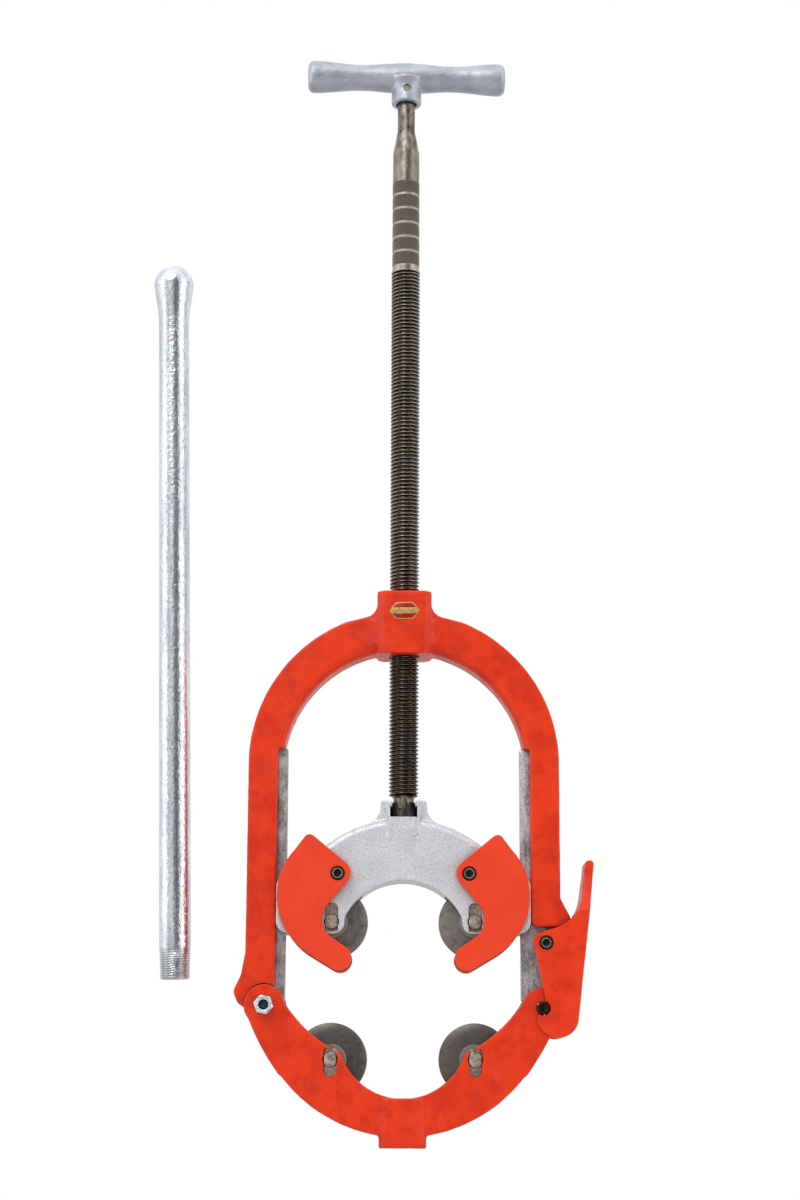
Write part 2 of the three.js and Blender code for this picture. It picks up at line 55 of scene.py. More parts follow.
MM = 0.001
TO_METRES = Matrix.Diagonal((MM, MM, MM, 1))
FOOT_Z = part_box("lower_jaw")[0].z  # the foot's height in the frame, where every height below starts
FOOT = Vector((0, 0, FOOT_Z))


def extent(node):
    """A CAD node's lowest and highest corners, in millimetres from the foot."""
    low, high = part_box(node)
    return (low - FOOT) / MM, (high - FOOT) / MM


def centre(node):
    low, high = extent(node)
    return (low + high) / 2


X, Y, Z = range(3)
AHEAD, BEHIND = -1, 1
LEFT, RIGHT = -1, 1
FACES = {AHEAD: "front", BEHIND: "rear"}
SIDES = {LEFT: "left", RIGHT: "right"}

HINGE = centre("hinge_nut")
LATCH_PIVOT = centre("latch_pivot_screw")
CATCH_PIN = centre("catch_pin")
WHEEL_NAMES = [f"{row}_{side}" for row in ("upper", "lower") for side in SIDES.values()]
WHEELS = {name: centre(f"{name}_cutter_wheel") for name in WHEEL_NAMES}
GUIDE_X, GUIDE_Z = centre("front_right_guide_screw").xz
GUIDE_PIVOTS = {side: Vector((side * GUIDE_X, 0, GUIDE_Z)) for side in SIDES}

FRAME_REACH, YOKE_REACH, JAW_REACH = 16, 18, 20  # how far each casting reaches from the middle plane
WAY_X, WAY_REACH, WAY_TOP = 93.8, 8, 314
SLOT_REACH = 10.25  # half the slot that a wheel or the frame's lug turns in
WHEEL_ROOM = 31.5
WHEEL_BORE, HINGE_BORE = 6.1, 5.1
THROUGH = 40  # further than any piece reaches
SCREW_PITCH, HANDLE_PITCH = 3.175, 1.81
SCREW_TURN = Matrix.Rotation(math.radians(2), 4, "Z")  # how the feed screw and its tee stand turned
KNURL_START, KNURL_STEP, KNURL_WIDTH, KNURLS = 728.3, 12.84, 10.9, 6

# ---- outlines


def arc(cx, cz, radius, start, stop, steps):
    """Corners along an arc, angles in degrees."""
    angles = [math.radians(start + (stop - start) * k / steps) for k in range(steps + 1)]
    return [(cx + radius * math.cos(a), cz + radius * math.sin(a)) for a in angles]


def mirrored(corners):
    return [(-c[0], *c[1:]) for c in corners][::-1]


def rectangle(x0, x1, z0, z1, radius=0):
    return [(x0, z0, radius), (x1, z0, radius), (x1, z1, radius), (x0, z1, radius)]


def rounded(corners, side=RIGHT):
    """Points of a closed outline whose corners are rounded where a radius is given."""
    points = []
    for i, corner in enumerate(corners):
        here = Vector(corner[:2])
        radius = corner[2] if len(corner) > 2 else 0
        if not radius:
            points.append(here)
            continue
        before = (Vector(corners[i - 1][:2]) - here).normalized()
        after = (Vector(corners[(i + 1) % len(corners)][:2]) - here).normalized()
        half = before.angle(after) / 2
        middle = here + (before + after).normalized() * (radius / math.sin(half))
        start = here + before * (radius / math.tan(half)) - middle
        stop = here + after * (radius / math.tan(half)) - middle
        turn = math.pi - 2 * half
        steps = max(3, math.ceil(turn / 0.13))
        for share in [k / steps for k in range(steps + 1)]:
            swept = start * math.sin((1 - share) * turn) + stop * math.sin(share * turn)
            points.append(middle + swept / math.sin(turn))
    return [(p.x * side, p.y) for p in points]


def doubled(half):
    """A profile that is the same at both ends, from its upper half."""
    return [(r, -h) for r, h in half[::-1]] + half


def rod(radius, low, high):
    return [(0, low), (radius, low), (radius, high), (0, high)]


# ---- solids, as bmesh in millimetres


def skinned(rings):
    """A closed solid from rings of points, each joined to the next."""
    bm = bmesh.new()
    rings = [[bm.verts.new(p) for p in ring] for ring in rings]
    bm.faces.new(rings[0])
    bm.faces.new(rings[-1][::-1])
    for a, b in zip(rings, rings[1:]):
        for k in range(len(a)):
            j = (k + 1) % len(a)
            bm.faces.new((a[k], b[k], b[j], a[j]))
    bmesh.ops.recalc_face_normals(bm, faces=bm.faces)
    return bm


def prism(corners, y0, y1, side=RIGHT):
    """A solid between two depths from an outline in the X-Z plane."""
    flat = rounded(corners, side)
    return skinned([[(x, y, z) for x, z in flat] for y in (y0, y1)])


def slab(corners, reach, side=RIGHT):
    return prism(corners, -reach, reach, side)


def spun(profile, axis="Z", at=(0, 0, 0), sides=96):
    """A turned solid from a profile; radius 0 at an end closes it on the axis, and without that it is a ring."""
    bm = bmesh.new()
    turns = [2 * math.pi * k / sides for k in range(sides)]
    rings = [
        [bm.verts.new((r * math.cos(t), r * math.sin(t), h)) for t in turns] if r else [bm.verts.new((0, 0, h))]
        for r, h in profile
    ]
    pairs = list(zip(rings, rings[1:]))
    if len(rings[0]) > 1 and len(rings[-1]) > 1:
        pairs.append((rings[-1], rings[0]))
    for a, b in pairs:
        for k in range(sides):
            j = (k + 1) % sides
            corners = (a[k % len(a)], a[j % len(a)], b[j % len(b)], b[k % len(b)])
            bm.faces.new(list(dict.fromkeys(corners)))
    angle, about = {"X": (math.pi / 2, "Y"), "Y": (-math.pi / 2, "X"), "Z": (0, "Z")}[axis]
    bmesh.ops.transform(bm, matrix=Matrix.Translation(at) @ Matrix.Rotation(angle, 4, about), verts=bm.verts)
    bmesh.ops.recalc_face_normals(bm, faces=bm.faces)
    return bm


def turned(profile, at, sides=64):
    """A turned solid along Y, on the axis through a place."""
    return spun(profile, "Y", (at.x, 0, at.z), sides)


def cross_bar(at, radius, y0, y1, sides=64):
    return turned(rod(radius, y0, y1), at, sides)


def bore(at, radius):
    return cross_bar(at, radius, -THROUGH, THROUGH)


def upright_bar(radius, z0, z1):
    return spun(rod(radius, z0, z1))


def block(x0, x1, y0, y1, z0, z1):
    return prism(rectangle(x0, x1, z0, z1), y0, y1)


def layer(face, near, far):
    """The two depths of a layer between two reaches, on the front or the rear side."""
    return (-far, -near) if face == AHEAD else (near, far)


def swapped(bm, first, second):
    """A solid with two of its axes exchanged, so that an outline can be drawn in another plane."""
    for v in bm.verts:
        v.co[first], v.co[second] = v.co[second], v.co[first]
    bm.normal_update()
    bmesh.ops.recalc_face_normals(bm, faces=bm.faces)
    return bm


# ---- objects and their modifiers


def placed(mesh, name):
    item = bpy.data.objects.new(name, mesh)
    bpy.context.scene.collection.objects.link(item)
    return item


def scratch(bm, name="scratch"):
    """An object made from a bmesh, still in millimetres from the foot."""
    mesh = bpy.data.meshes.new(name)
    bm.to_mesh(mesh)
    bm.free()
    return placed(mesh, name)


def modified(item, kind, **settings):
    """Gives an object's mesh a modifier's effect."""
    step = item.modifiers.new("step", kind)
    for key, value in settings.items():
        setattr(step, key, value)
    bpy.context.view_layer.update()
    graph = bpy.context.evaluated_depsgraph_get()
    baked = bpy.data.meshes.new_from_object(item.evaluated_get(graph))
    item.modifiers.clear()
    old, item.data = item.data, baked
    bpy.data.meshes.remove(old)
    return item


def combined(item, others, operation="UNION"):
    """Joins solids to an object, or cuts them from it, one after another."""
    for bm in others:
        other = scratch(bm, "tool")
        modified(item, "BOOLEAN", solver="MANIFOLD", operation=operation, object=other)
        spare = other.data
        bpy.data.objects.remove(other)
        bpy.data.meshes.remove(spare)
    return item


def cut(item, *cutters):
    return combined(item, cutters, "DIFFERENCE")


def softened(item, voxel, passes, lumps, lump_size=9.0):
    """Turns hard-edged solids into one casting: an even skin, rounded corners, and a slightly uneven face."""
    modified(item, "REMESH", mode="VOXEL", voxel_size=voxel)
    mesh = modified(item, "SMOOTH", factor=0.5, iterations=passes).data
    co, no = np.empty((2, len(mesh.vertices) * 3))
    mesh.vertices.foreach_get("co", co)
    mesh.vertices.foreach_get("normal", no)
    fine = lump_size * 0.37
    swell = [noise.noise(Vector(p) / lump_size) + 0.4 * noise.noise(Vector(p) / fine) for p in co.reshape(-1, 3)]
    co += no * np.repeat(np.array(swell) * lumps, 3)
    mesh.vertices.foreach_set("co", co)
    mesh.update()
    return item


def bevelled(item, width, segments=2, angle=50):
    limit = math.radians(angle)
    return modified(item, "BEVEL", width=width, segments=segments, limit_method="ANGLE", angle_limit=limit)


def finished(item, name, body, finish, replaces=None, smooth_angle=35, at=None):
    """Brings a piece into the frame, gives it the material of its (material, slot) finish and sets it on its body.

    A piece whose finish turns round its own centre is drawn round the origin, and at is where it goes.
    """
    material, slot = finish
    item.name = item.data.name = name
    item.data.transform(TO_METRES)
    if at is None:
        item.data.transform(Matrix.Translation(FOOT))
    else:
        item.location = at * MM + FOOT
    item.data.materials.clear()
    item.data.materials.append(material)
    shade(item.data, math.radians(smooth_angle))
    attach(item, body)
    if replaces:
        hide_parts(replaces)


def shade(mesh, limit):
    """Smooth shading with the edges above an angle kept sharp."""
    mesh.shade_smooth()
    bm = bmesh.new()
    bm.from_mesh(mesh)
    for edge in bm.edges:
        edge.smooth = not (edge.is_manifold and edge.calc_face_angle(0) > limit)
    bm.to_mesh(mesh)
    bm.free()


# ---- finishes


def srgb(*display):
    """Linear colour from 0-255 display values."""
    return tuple(v / 255 / 12.92 if v <= 10.3 else ((v / 255 + 0.055) / 1.055) ** 2.4 for v in display)


class Wiring:
    """A short hand for wiring the node tree of a material or world."""

    def __init__(self, owner):
        owner.use_nodes = True
        self.tree = owner.node_tree
        self.tree.nodes.clear()

    def add(self, kind, sockets, **settings):
        """A new node, with a value or another node's output for each of its sockets."""
        node = self.tree.nodes.new(f"ShaderNode{kind}")
        for key, value in settings.items():
            setattr(node, key, value)
        for key, value in sockets.items():
            socket = node.inputs[key]
            if isinstance(value, bpy.types.NodeSocket):
                self.tree.links.new(value, socket)
            elif isinstance(value, tuple) and len(socket.default_value) == 4:
                socket.default_value = (*value, 1)
            else:
                socket.default_value = value
        return node

    def math(self, operation, a, b=0.0, c=0.0):
        return self.add("Math", {0: a, 1: b, 2: c}, operation=operation).outputs[0]

    def times(self, a, b):
        return self.math("MULTIPLY", a, b)

    def mix(self, share, a, b):
        return self.add("Mix", {0: share, 6: a, 7: b}, data_type="RGBA").outputs[2]

    def span(self, value, low, high, to_low=0.0, to_high=1.0):
        """Maps a value from one range to another with smooth ends, and holds it there."""
        sockets = dict(enumerate((value, low, high, to_low, to_high)))
        return self.add("MapRange", sockets, interpolation_type="SMOOTHSTEP").outputs[0]

    def camera_ray(self):
        return self.add("LightPath", {}).outputs["Is Camera Ray"]


class Finish(Wiring):
    """One material: a ground colour, stains and painted highlights and shade over it, relief and sheen. Sizes are in
    millimetres.
    """

    WAVE_SPACING = 0.314  # a wave texture's own spacing at scale 1

    def __init__(self, name):
        self.material = bpy.data.materials.new(name)
        super().__init__(self.material)
        self.place = self.add("TexCoord", {}).outputs["Object"]
        self.colour = self.relief = None

    def scaled(self, size, stretch=(1, 1, 1), turn=(0, 0, 0)):
        """Object coordinates in units of size, stretched along each axis."""
        scale = tuple(1 / (MM * size * s) for s in stretch)
        return self.add("Mapping", {"Vector": self.place, "Rotation": turn, "Scale": scale}).outputs[0]

    def noise(self, size, detail=2.0, rough=0.5, stretch=(1, 1, 1)):
        sockets = {"Vector": self.scaled(size, stretch), "Scale": 1.0, "Detail": detail, "Roughness": rough}
        return self.add("TexNoise", sockets).outputs["Fac"]

    def patches(self, low, high, size, *noise):
        """1 where noise of a size is above high, and 0 where it is below low."""
        return self.span(self.noise(size, *noise), low, high)

    def sheen(self, low, high, size, *noise):
        """A value that wanders between two levels."""
        return self.span(self.noise(size, *noise), 0.3, 0.7, low, high)

    def dots(self, low, high, size):
        sockets = {"Vector": self.scaled(size), "Scale": 1.0}
        return self.span(self.add("TexVoronoi", sockets).outputs["Distance"], low, high)

    def lines(self, spacing, direction, distortion, turn=0.0):
        """Fine parallel lines, turned in the X-Z plane."""
        sockets = {
            "Vector": self.scaled(1, turn=(0, math.radians(turn), 0)), "Scale": self.WAVE_SPACING / spacing,
            "Distortion": distortion, "Detail": 2.0,
        }
        return self.add("TexWave", sockets, bands_direction=direction).outputs["Fac"]

    def part(self, axis):
        return self.add("SeparateXYZ", {0: self.place}).outputs[axis]

    def rise(self):
        """Height from the foot."""
        return self.math("MULTIPLY_ADD", self.part("Z"), 1 / MM, -FOOT_Z / MM)

    def radius(self, second="Y"):
        """Distance from the Z axis, or from the Y axis, through the object's origin."""
        squares = [self.math("POWER", self.part(axis), 2) for axis in ("X", second)]
        return self.times(self.math("SQRT", self.math("ADD", *squares)), 1 / MM)

    def edges(self, low, high):
        """1 along convex edges, or in hollows when low is the larger."""
        return self.span(self.add("NewGeometry", {}).outputs["Pointiness"], low, high)

    def corner_shade(self, reach):
        """1 in corners that light hardly reaches, where painted shade goes."""
        shadow = self.add("AmbientOcclusion", {"Distance": reach * MM}, samples=6).outputs["AO"]
        return self.span(shadow, 0.85, 0.25)

    def blend(self, share, *colours):
        """Mixes two colours, each a node's output or 0-255 display values."""
        return self.mix(share, *[srgb(*c) if isinstance(c, tuple) else c for c in colours])

    def ground(self, share, first, second):
        self.colour = self.blend(share, first, second)

    def lay_stain_or_painted_light(self, amount, where, colour):
        """Lays a colour over what is there, where a mask is 1: real stains, and also painted highlights and painted
        shade.
        """
        self.colour = self.blend(self.times(where, amount), self.colour, colour)

    def bump(self, depth, height):
        """Adds relief on top of what is there."""
        below = {} if self.relief is None else {"Normal": self.relief}
        sockets = {"Strength": 1.0, "Distance": depth * MM, "Height": height, **below}
        self.relief = self.add("Bump", sockets).outputs["Normal"]

    def done(self, roughness, metallic=0.0, **sockets):
        named = {key.replace("_", " "): value for key, value in sockets.items()}
        if self.relief is not None:
            named["Normal"] = self.relief
        named |= {"Base Color": self.colour, "Roughness": roughness, "Metallic": metallic}
        surface = self.add("BsdfPrincipled", named)
        self.add("OutputMaterial", {"Surface": surface.outputs[0]})
        return self.material


def red_paint():
    """Glossy red over a sand casting: soft mottling, a little soot, painted highlights along the edges and painted
    shade in the corners.
    """
    n = Finish("red_paint")
    n.ground(n.patches(0.4, 0.62, 22, 4, 0.55), (223, 53, 8), (208, 45, 8))
    n.lay_stain_or_painted_light(0.32, n.patches(0.5, 0.72, 11, 5, 0.68), (168, 38, 14))
    n.lay_stain_or_painted_light(0.8, n.times(n.dots(0.07, 0.045, 5.5), n.patches(0.5, 0.62, 40, 1)), (110, 34, 24))
    # painted highlight along the convex edges, in patches
    n.lay_stain_or_painted_light(0.5, n.times(n.edges(0.51, 0.58), n.patches(0.42, 0.62, 7, 4)), (247, 104, 84))
    # painted shade in the corners
    n.lay_stain_or_painted_light(0.25, n.corner_shade(2.5), (120, 24, 14))
    n.lay_stain_or_painted_light(0.22, n.patches(0.52, 0.68, 1.9, 3, 0.65), (186, 36, 8))
    n.bump(0.10, n.noise(3.2))
    n.bump(0.03, n.noise(1.3))
    return n.done(n.sheen(0.34, 0.46, 9, 3), Coat_Weight=0.08, Coat_Roughness=0.25, Specular_IOR_Level=0.3)


def guide_coat():
    """Orange-red powder coat, finer and lighter than the castings."""
    n = Finish("guide_coat")
    n.ground(n.patches(0.35, 0.68, 18, 3), (227, 62, 26), (221, 57, 22))
    n.lay_stain_or_painted_light(0.22, n.patches(0.58, 0.78, 2.2, 3, 0.6, (1, 1, 16)), (206, 50, 30))
    # painted highlight along the convex edges, in patches
    n.lay_stain_or_painted_light(0.75, n.times(n.edges(0.52, 0.6), n.patches(0.5, 0.62, 3.0, 4)), (250, 150, 128))
    # painted shade in the corners
    n.lay_stain_or_painted_light(0.4, n.corner_shade(2), (130, 28, 16))
    n.bump(0.012, n.noise(0.75))
    return n.done(n.sheen(0.42, 0.5, 5), Coat_Weight=0.05, Coat_Roughness=0.3, Specular_IOR_Level=0.35)


def silver_paint():
    """Hammered aluminium paint with a fine dark and light fleck."""
    n = Finish("silver_paint")
    n.ground(n.patches(0.35, 0.65, 16, 3), (217, 219, 223), (208, 211, 215))
    n.lay_stain_or_painted_light(0.62, n.patches(0.52, 0.64, 1.5, 3, 0.7), (148, 151, 157))
    n.lay_stain_or_painted_light(0.75, n.patches(0.55, 0.66, 1.2, 2, 0.6), (242, 244, 247))
    # painted shade in the corners
    n.lay_stain_or_painted_light(0.6, n.corner_shade(5), (84, 82, 82))
    # painted shade in the hollows
    n.lay_stain_or_painted_light(0.4, n.edges(0.49, 0.42), (120, 122, 126))
    n.lay_stain_or_painted_light(0.7, n.times(n.edges(0.53, 0.6), n.patches(0.58, 0.66, 4, 4)), (120, 114, 108))
    n.bump(0.11, n.noise(2.1))
    n.bump(0.03, n.noise(0.7, 1))
    return n.done(n.sheen(0.36, 0.54, 1.4), 0.45)


def cast_zinc():
    """Satin zinc alloy, lightly pebbled, with a few pits."""
    n = Finish("cast_zinc")
    n.ground(n.patches(0.35, 0.65, 14, 3), (186, 191, 198), (168, 174, 183))
    n.lay_stain_or_painted_light(0.45, n.patches(0.54, 0.68, 0.9, 3, 0.7), (226, 229, 233))
    n.lay_stain_or_painted_light(0.85, n.times(n.dots(0.075, 0.05, 6.5), n.patches(0.5, 0.55, 21, 1)), (52, 48, 46))
    # painted shade in the corners
    n.lay_stain_or_painted_light(0.55, n.corner_shade(3), (64, 62, 64))
    n.bump(0.15, n.noise(2.0, 2, 0.55))
    n.bump(0.02, n.noise(0.55, 1))
    return n.done(n.sheen(0.36, 0.5, 2.4), 0.7)


def thread_steel():
    """Oily dark thread with painted shade making the roots black and a painted highlight making the crests brown-grey,
    the crests darker towards the bottom; the neck below is bare.
    """
    n = Finish("thread_steel")
    # crest colour, darker towards the bottom
    crest = n.blend(n.span(n.rise(), 380, 470), (132, 121, 107), (182, 169, 153))
    # painted shade in the roots, painted highlight on the crests
    n.ground(n.span(n.radius(), 11.25, 12.12), (10, 8, 7), crest)
    n.lay_stain_or_painted_light(0.55, n.patches(0.5, 0.7, 7, 4, 0.65, (1, 1, 2)), (52, 44, 37))
    bare = n.blend(n.patches(0.4, 0.65, 3, 3, 0.6, (1, 1, 3)), (150, 143, 131), (84, 78, 69))
    n.lay_stain_or_painted_light(1, n.span(n.radius(), 10.55, 10.2), bare)
    n.bump(0.03, n.noise(0.6, 3, 0.6))
    n.bump(0.02, n.noise(0.5, 2, 0.5, (6, 6, 0.6)))
    return n.done(n.sheen(0.2, 0.33, 3, 3), 0.92)


def grip_steel():
    """Ground steel of the screw's upper end: bright rings between dark knurled bands with painted shade in the knurl's
    grooves, stains near the stem.
    """
    bands_end, rings_end, stain_low, stain_high = 804, 802, 827, 847
    n = Finish("grip_steel")
    height = n.rise()
    n.ground(n.patches(0.35, 0.7, 4, 4, 0.6, (1, 1, 3)), (146, 138, 128), (104, 97, 88))
    n.lay_stain_or_painted_light(0.5, n.patches(0.52, 0.7, 2.2, 3, 0.6, (1, 1, 12)), (168, 160, 149))
    stained = n.times(n.patches(0.47, 0.6, 6, 4, 0.65, (1, 1, 1.7)), n.span(height, stain_low, stain_high))
    n.lay_stain_or_painted_light(0.75, stained, (62, 52, 43))
    step = n.math("FLOORED_MODULO", n.math("SUBTRACT", height, KNURL_START), KNURL_STEP)
    banded = n.times(n.math("LESS_THAN", step, KNURL_WIDTH), n.math("LESS_THAN", height, bands_end))
    banded = n.times(banded, n.math("GREATER_THAN", height, KNURL_START))
    # painted shade in the knurl's grooves, lighter crests
    knurl = n.blend(n.span(n.radius(), 11.0, 11.6), (16, 13, 11), (172, 162, 150))
    n.ground(n.span(height, rings_end, rings_end + 1), (166, 159, 149), n.colour)
    n.lay_stain_or_painted_light(1, banded, knurl)
    n.bump(0.015, n.noise(0.35, 2, 0.5, (8, 8, 0.5)))
    n.bump(0.03, n.noise(1.3, 3, 0.6))
    return n.done(n.sheen(0.25, 0.4, 4, 3), 0.9)


def wheel_steel(name, painted_light_lift):
    """Hardened wheel, dark, with a turned sheen round the axle; the upper pair is painted a little brighter as painted
    light.
    """
    n = Finish(name)
    away = n.radius("Z")
    sockets = {"W": n.times(away, 1.6), "Scale": 1.0, "Detail": 4.0}
    rings = n.add("TexNoise", sockets, noise_dimensions="1D").outputs["Fac"]
    # both tones raised by painted light, more for the upper pair
    n.ground(rings, *[tuple(v + painted_light_lift for v in shade) for shade in ((78, 73, 68), (114, 108, 102))])
    n.lay_stain_or_painted_light(0.5, n.patches(0.45, 0.7, 5, 4, 0.6), (78, 73, 68))
    n.lay_stain_or_painted_light(0.8, n.span(away, 12.6, 12.2), (164, 158, 148))
    n.lay_stain_or_painted_light(0.12, n.span(away, 27.3, 28.2), (140, 136, 131))
    n.bump(0.035, rings)
    n.bump(0.012, n.noise(0.5, 2, 0.6))
    return n.done(n.sheen(0.3, 0.45, 3, 3), 0.85, Anisotropic=0.5)


def pin_steel():
    """Turned pin, tarnished, with small dents on its end."""
    n = Finish("pin_steel")
    n.ground(n.patches(0.35, 0.68, 2.6, 4, 0.6), (214, 201, 187), (150, 139, 126))
    # painted shade in the corners
    n.lay_stain_or_painted_light(0.8, n.corner_shade(1.6), (46, 40, 36))
    n.bump(0.06, n.noise(1.2, 3, 0.6))
    return n.done(n.sheen(0.3, 0.46, 1.5), 0.9)


def machined_steel():
    """Milled ways: grey, cross-cut by the cutter, with longer sweeping marks on the tongue."""
    n = Finish("machined_steel")
    tongue = n.times(n.span(n.part("Z"), 0.142, 0.128), n.span(n.part("X"), 0.05, 0.06))
    marks = n.mix(tongue, n.lines(0.85, "Z", 0.8), n.lines(1.9, "X", 1.2, -32))
    n.ground(n.patches(0.38, 0.66, 9, 4, 0.6, (1, 1, 2.4)), (214, 210, 210), (140, 136, 137))
    n.lay_stain_or_painted_light(n.math("MULTIPLY_ADD", n.noise(6, 3), 0.8, 0.05), marks, (58, 56, 56))
    n.lay_stain_or_painted_light(0.5, n.patches(0.55, 0.66, 1.7, 3, 0.7), (226, 226, 227))
    n.lay_stain_or_painted_light(0.6, n.patches(0.54, 0.66, 2.1, 4, 0.7, (1, 1, 1.6)), (62, 57, 57))
    n.lay_stain_or_painted_light(1, n.times(n.dots(0.12, 0.08, 9), n.patches(0.55, 0.6, 30, 1)), (48, 42, 40))
    # painted shade in the corners
    n.lay_stain_or_painted_light(0.7, n.corner_shade(1.2), (40, 37, 35))
    n.bump(0.03, marks)
    n.bump(0.03, n.noise(1.4, 3, 0.6))
    return n.done(n.sheen(0.34, 0.5, 4, 3), 0.8)


def black_oxide():
    """Blackened screws, a little paler on the rims."""
    n = Finish("black_oxide")
    n.ground(n.patches(0.35, 0.65, 1.6, 3), (26, 25, 24), (44, 40, 37))
    n.lay_stain_or_painted_light(0.6, n.edges(0.54, 0.64), (128, 118, 108))
    n.bump(0.01, n.noise(0.5, 2, 0.6))
    return n.done(0.34, 0.75)


def zinc_plate():
    """Bright plated hinge hardware with a blue cast and frosty patches."""
    n = Finish("zinc_plate")
    n.ground(n.patches(0.38, 0.62, 2.2, 4, 0.6), (238, 240, 245), (200, 205, 214))
    n.lay_stain_or_painted_light(0.3, n.patches(0.58, 0.66, 5), (176, 196, 190))
    n.bump(0.05, n.noise(0.9, 3, 0.6))
    return n.done(n.sheen(0.2, 0.36, 1.6), 0.6)


def galvanised():
    """Bright zinc-coated tube: mirror-like with a pebbled coat and runs down its length."""
    n = Finish("galvanised")
    n.ground(n.patches(0.35, 0.68, 9, 4, 0.6, (1, 1, 6)), (230, 235, 240), (198, 205, 213))
    n.lay_stain_or_painted_light(0.5, n.patches(0.53, 0.66, 2.6, 4, 0.72), (136, 145, 155))
    n.lay_stain_or_painted_light(0.35, n.span(n.rise(), 155, 153), (150, 146, 140))
    n.bump(0.26, n.noise(4.2, 3, 0.6, (1, 1, 1.8)))
    n.bump(0.42, n.noise(2.4, 3, 0.65))
    return n.done(n.sheen(0.07, 0.16, 3.0, 3, 0.6, (1, 1, 3)), 1.0)


def mottled(name, light, dark, where, depth, grain, roughness, metallic):
    """A finish of two tones for a small piece."""
    n = Finish(name)
    n.ground(n.patches(*where), light, dark)
    n.bump(depth, n.noise(grain))
    return n.done(roughness, metallic)


RED = red_paint(), "red_paint"
GUIDE = guide_coat(), "orange_powder_coat"
SILVER = silver_paint(), "silver_paint"
ZINC_CAST = cast_zinc(), "cast_zinc"
THREAD = thread_steel(), "dark_steel"
GRIP = grip_steel(), "dark_steel"
# the upper wheels get more painted light than the lower
WHEEL = {row: (wheel_steel(f"{row}_wheel_steel", painted_light_lift), "wheel_steel") for row, painted_light_lift in (("upper", 42), ("lower", 9))}
PIN = pin_steel(), "pin_steel"
RUBBED = PIN[0], "black_oxide"
ROLLED = PIN[0], "dark_steel"
MACHINED = machined_steel(), "pin_steel"
BLACK = black_oxide(), "black_oxide"
PLATED = zinc_plate(), "zinc_plate"
TUBE = galvanised(), "galvanised_pipe"
BOLT = mottled("dark_bolt", (38, 44, 50), (64, 92, 98), (0.35, 0.65, 1.4, 3), 0.02, 0.6, 0.38, 0.85), "zinc_plate"
WIRE = mottled("spring_wire", (148, 122, 74), (84, 72, 50), (0.35, 0.65, 1.3, 3), 0.02, 0.5, 0.36, 0.9), "spring_steel"
PRINT = (0.4, 0.66, 1.6, 4, 0.6), 0.015, 0.7
BADGE_GROUND = mottled("badge_ground", (168, 34, 22), (122, 20, 14), *PRINT, 0.3, 0.1), "badge_enamel"
BADGE_CREAM = mottled("badge_cream", (214, 170, 104), (178, 134, 78), *PRINT, 0.36, 0.3), "badge_enamel"

# ---- upper frame


def rounding_wedge(face, ridge, rim, start, stop):
    """What rounds a curved band's face off, from a ridge on it to a thinner rim.

    Both are arcs, each given as (centre height, radius, reach along Y); the angles are in degrees.
    """
    past, outside, steps, facets = 4.0, 30.0, 120, 8
    rings = []
    for k in range(steps + 1):
        angle = math.radians(start + (stop - start) * k / steps)
        along = Vector((math.cos(angle), 0, math.sin(angle)))
        on_ridge, on_rim = [Vector((0, 0, z)) + along * radius for z, radius, _ in (ridge, rim)]
        beyond = on_rim + (on_rim - on_ridge).normalized() * past
        shares = [k / facets for k in range(facets + 1)]
        section = [(on_ridge.lerp(on_rim, t), rim[2] + (ridge[2] - rim[2]) * math.sqrt(1 - t * t)) for t in shares]
        section += [(beyond, rim[2]), (beyond, outside), (on_ridge, outside)]
        rings.append([(p.x, face * y, p.z) for p, y in section])
    return skinned(rings)


def lug_slope(face):
    """What slopes the frame's face down to its lug's beside the hinge, where the opened jaw comes past."""
    slope_x, slope_z = 0.40, 0.354
    corners = rectangle(-136, -100, 118, 155)
    slope = [(x, face * (16.5 + slope_x * (x + 113) + slope_z * (z - 128)), z) for x, z, _ in corners]
    return skinned([slope, [(x, face * THROUGH, z) for x, z, _ in corners]])


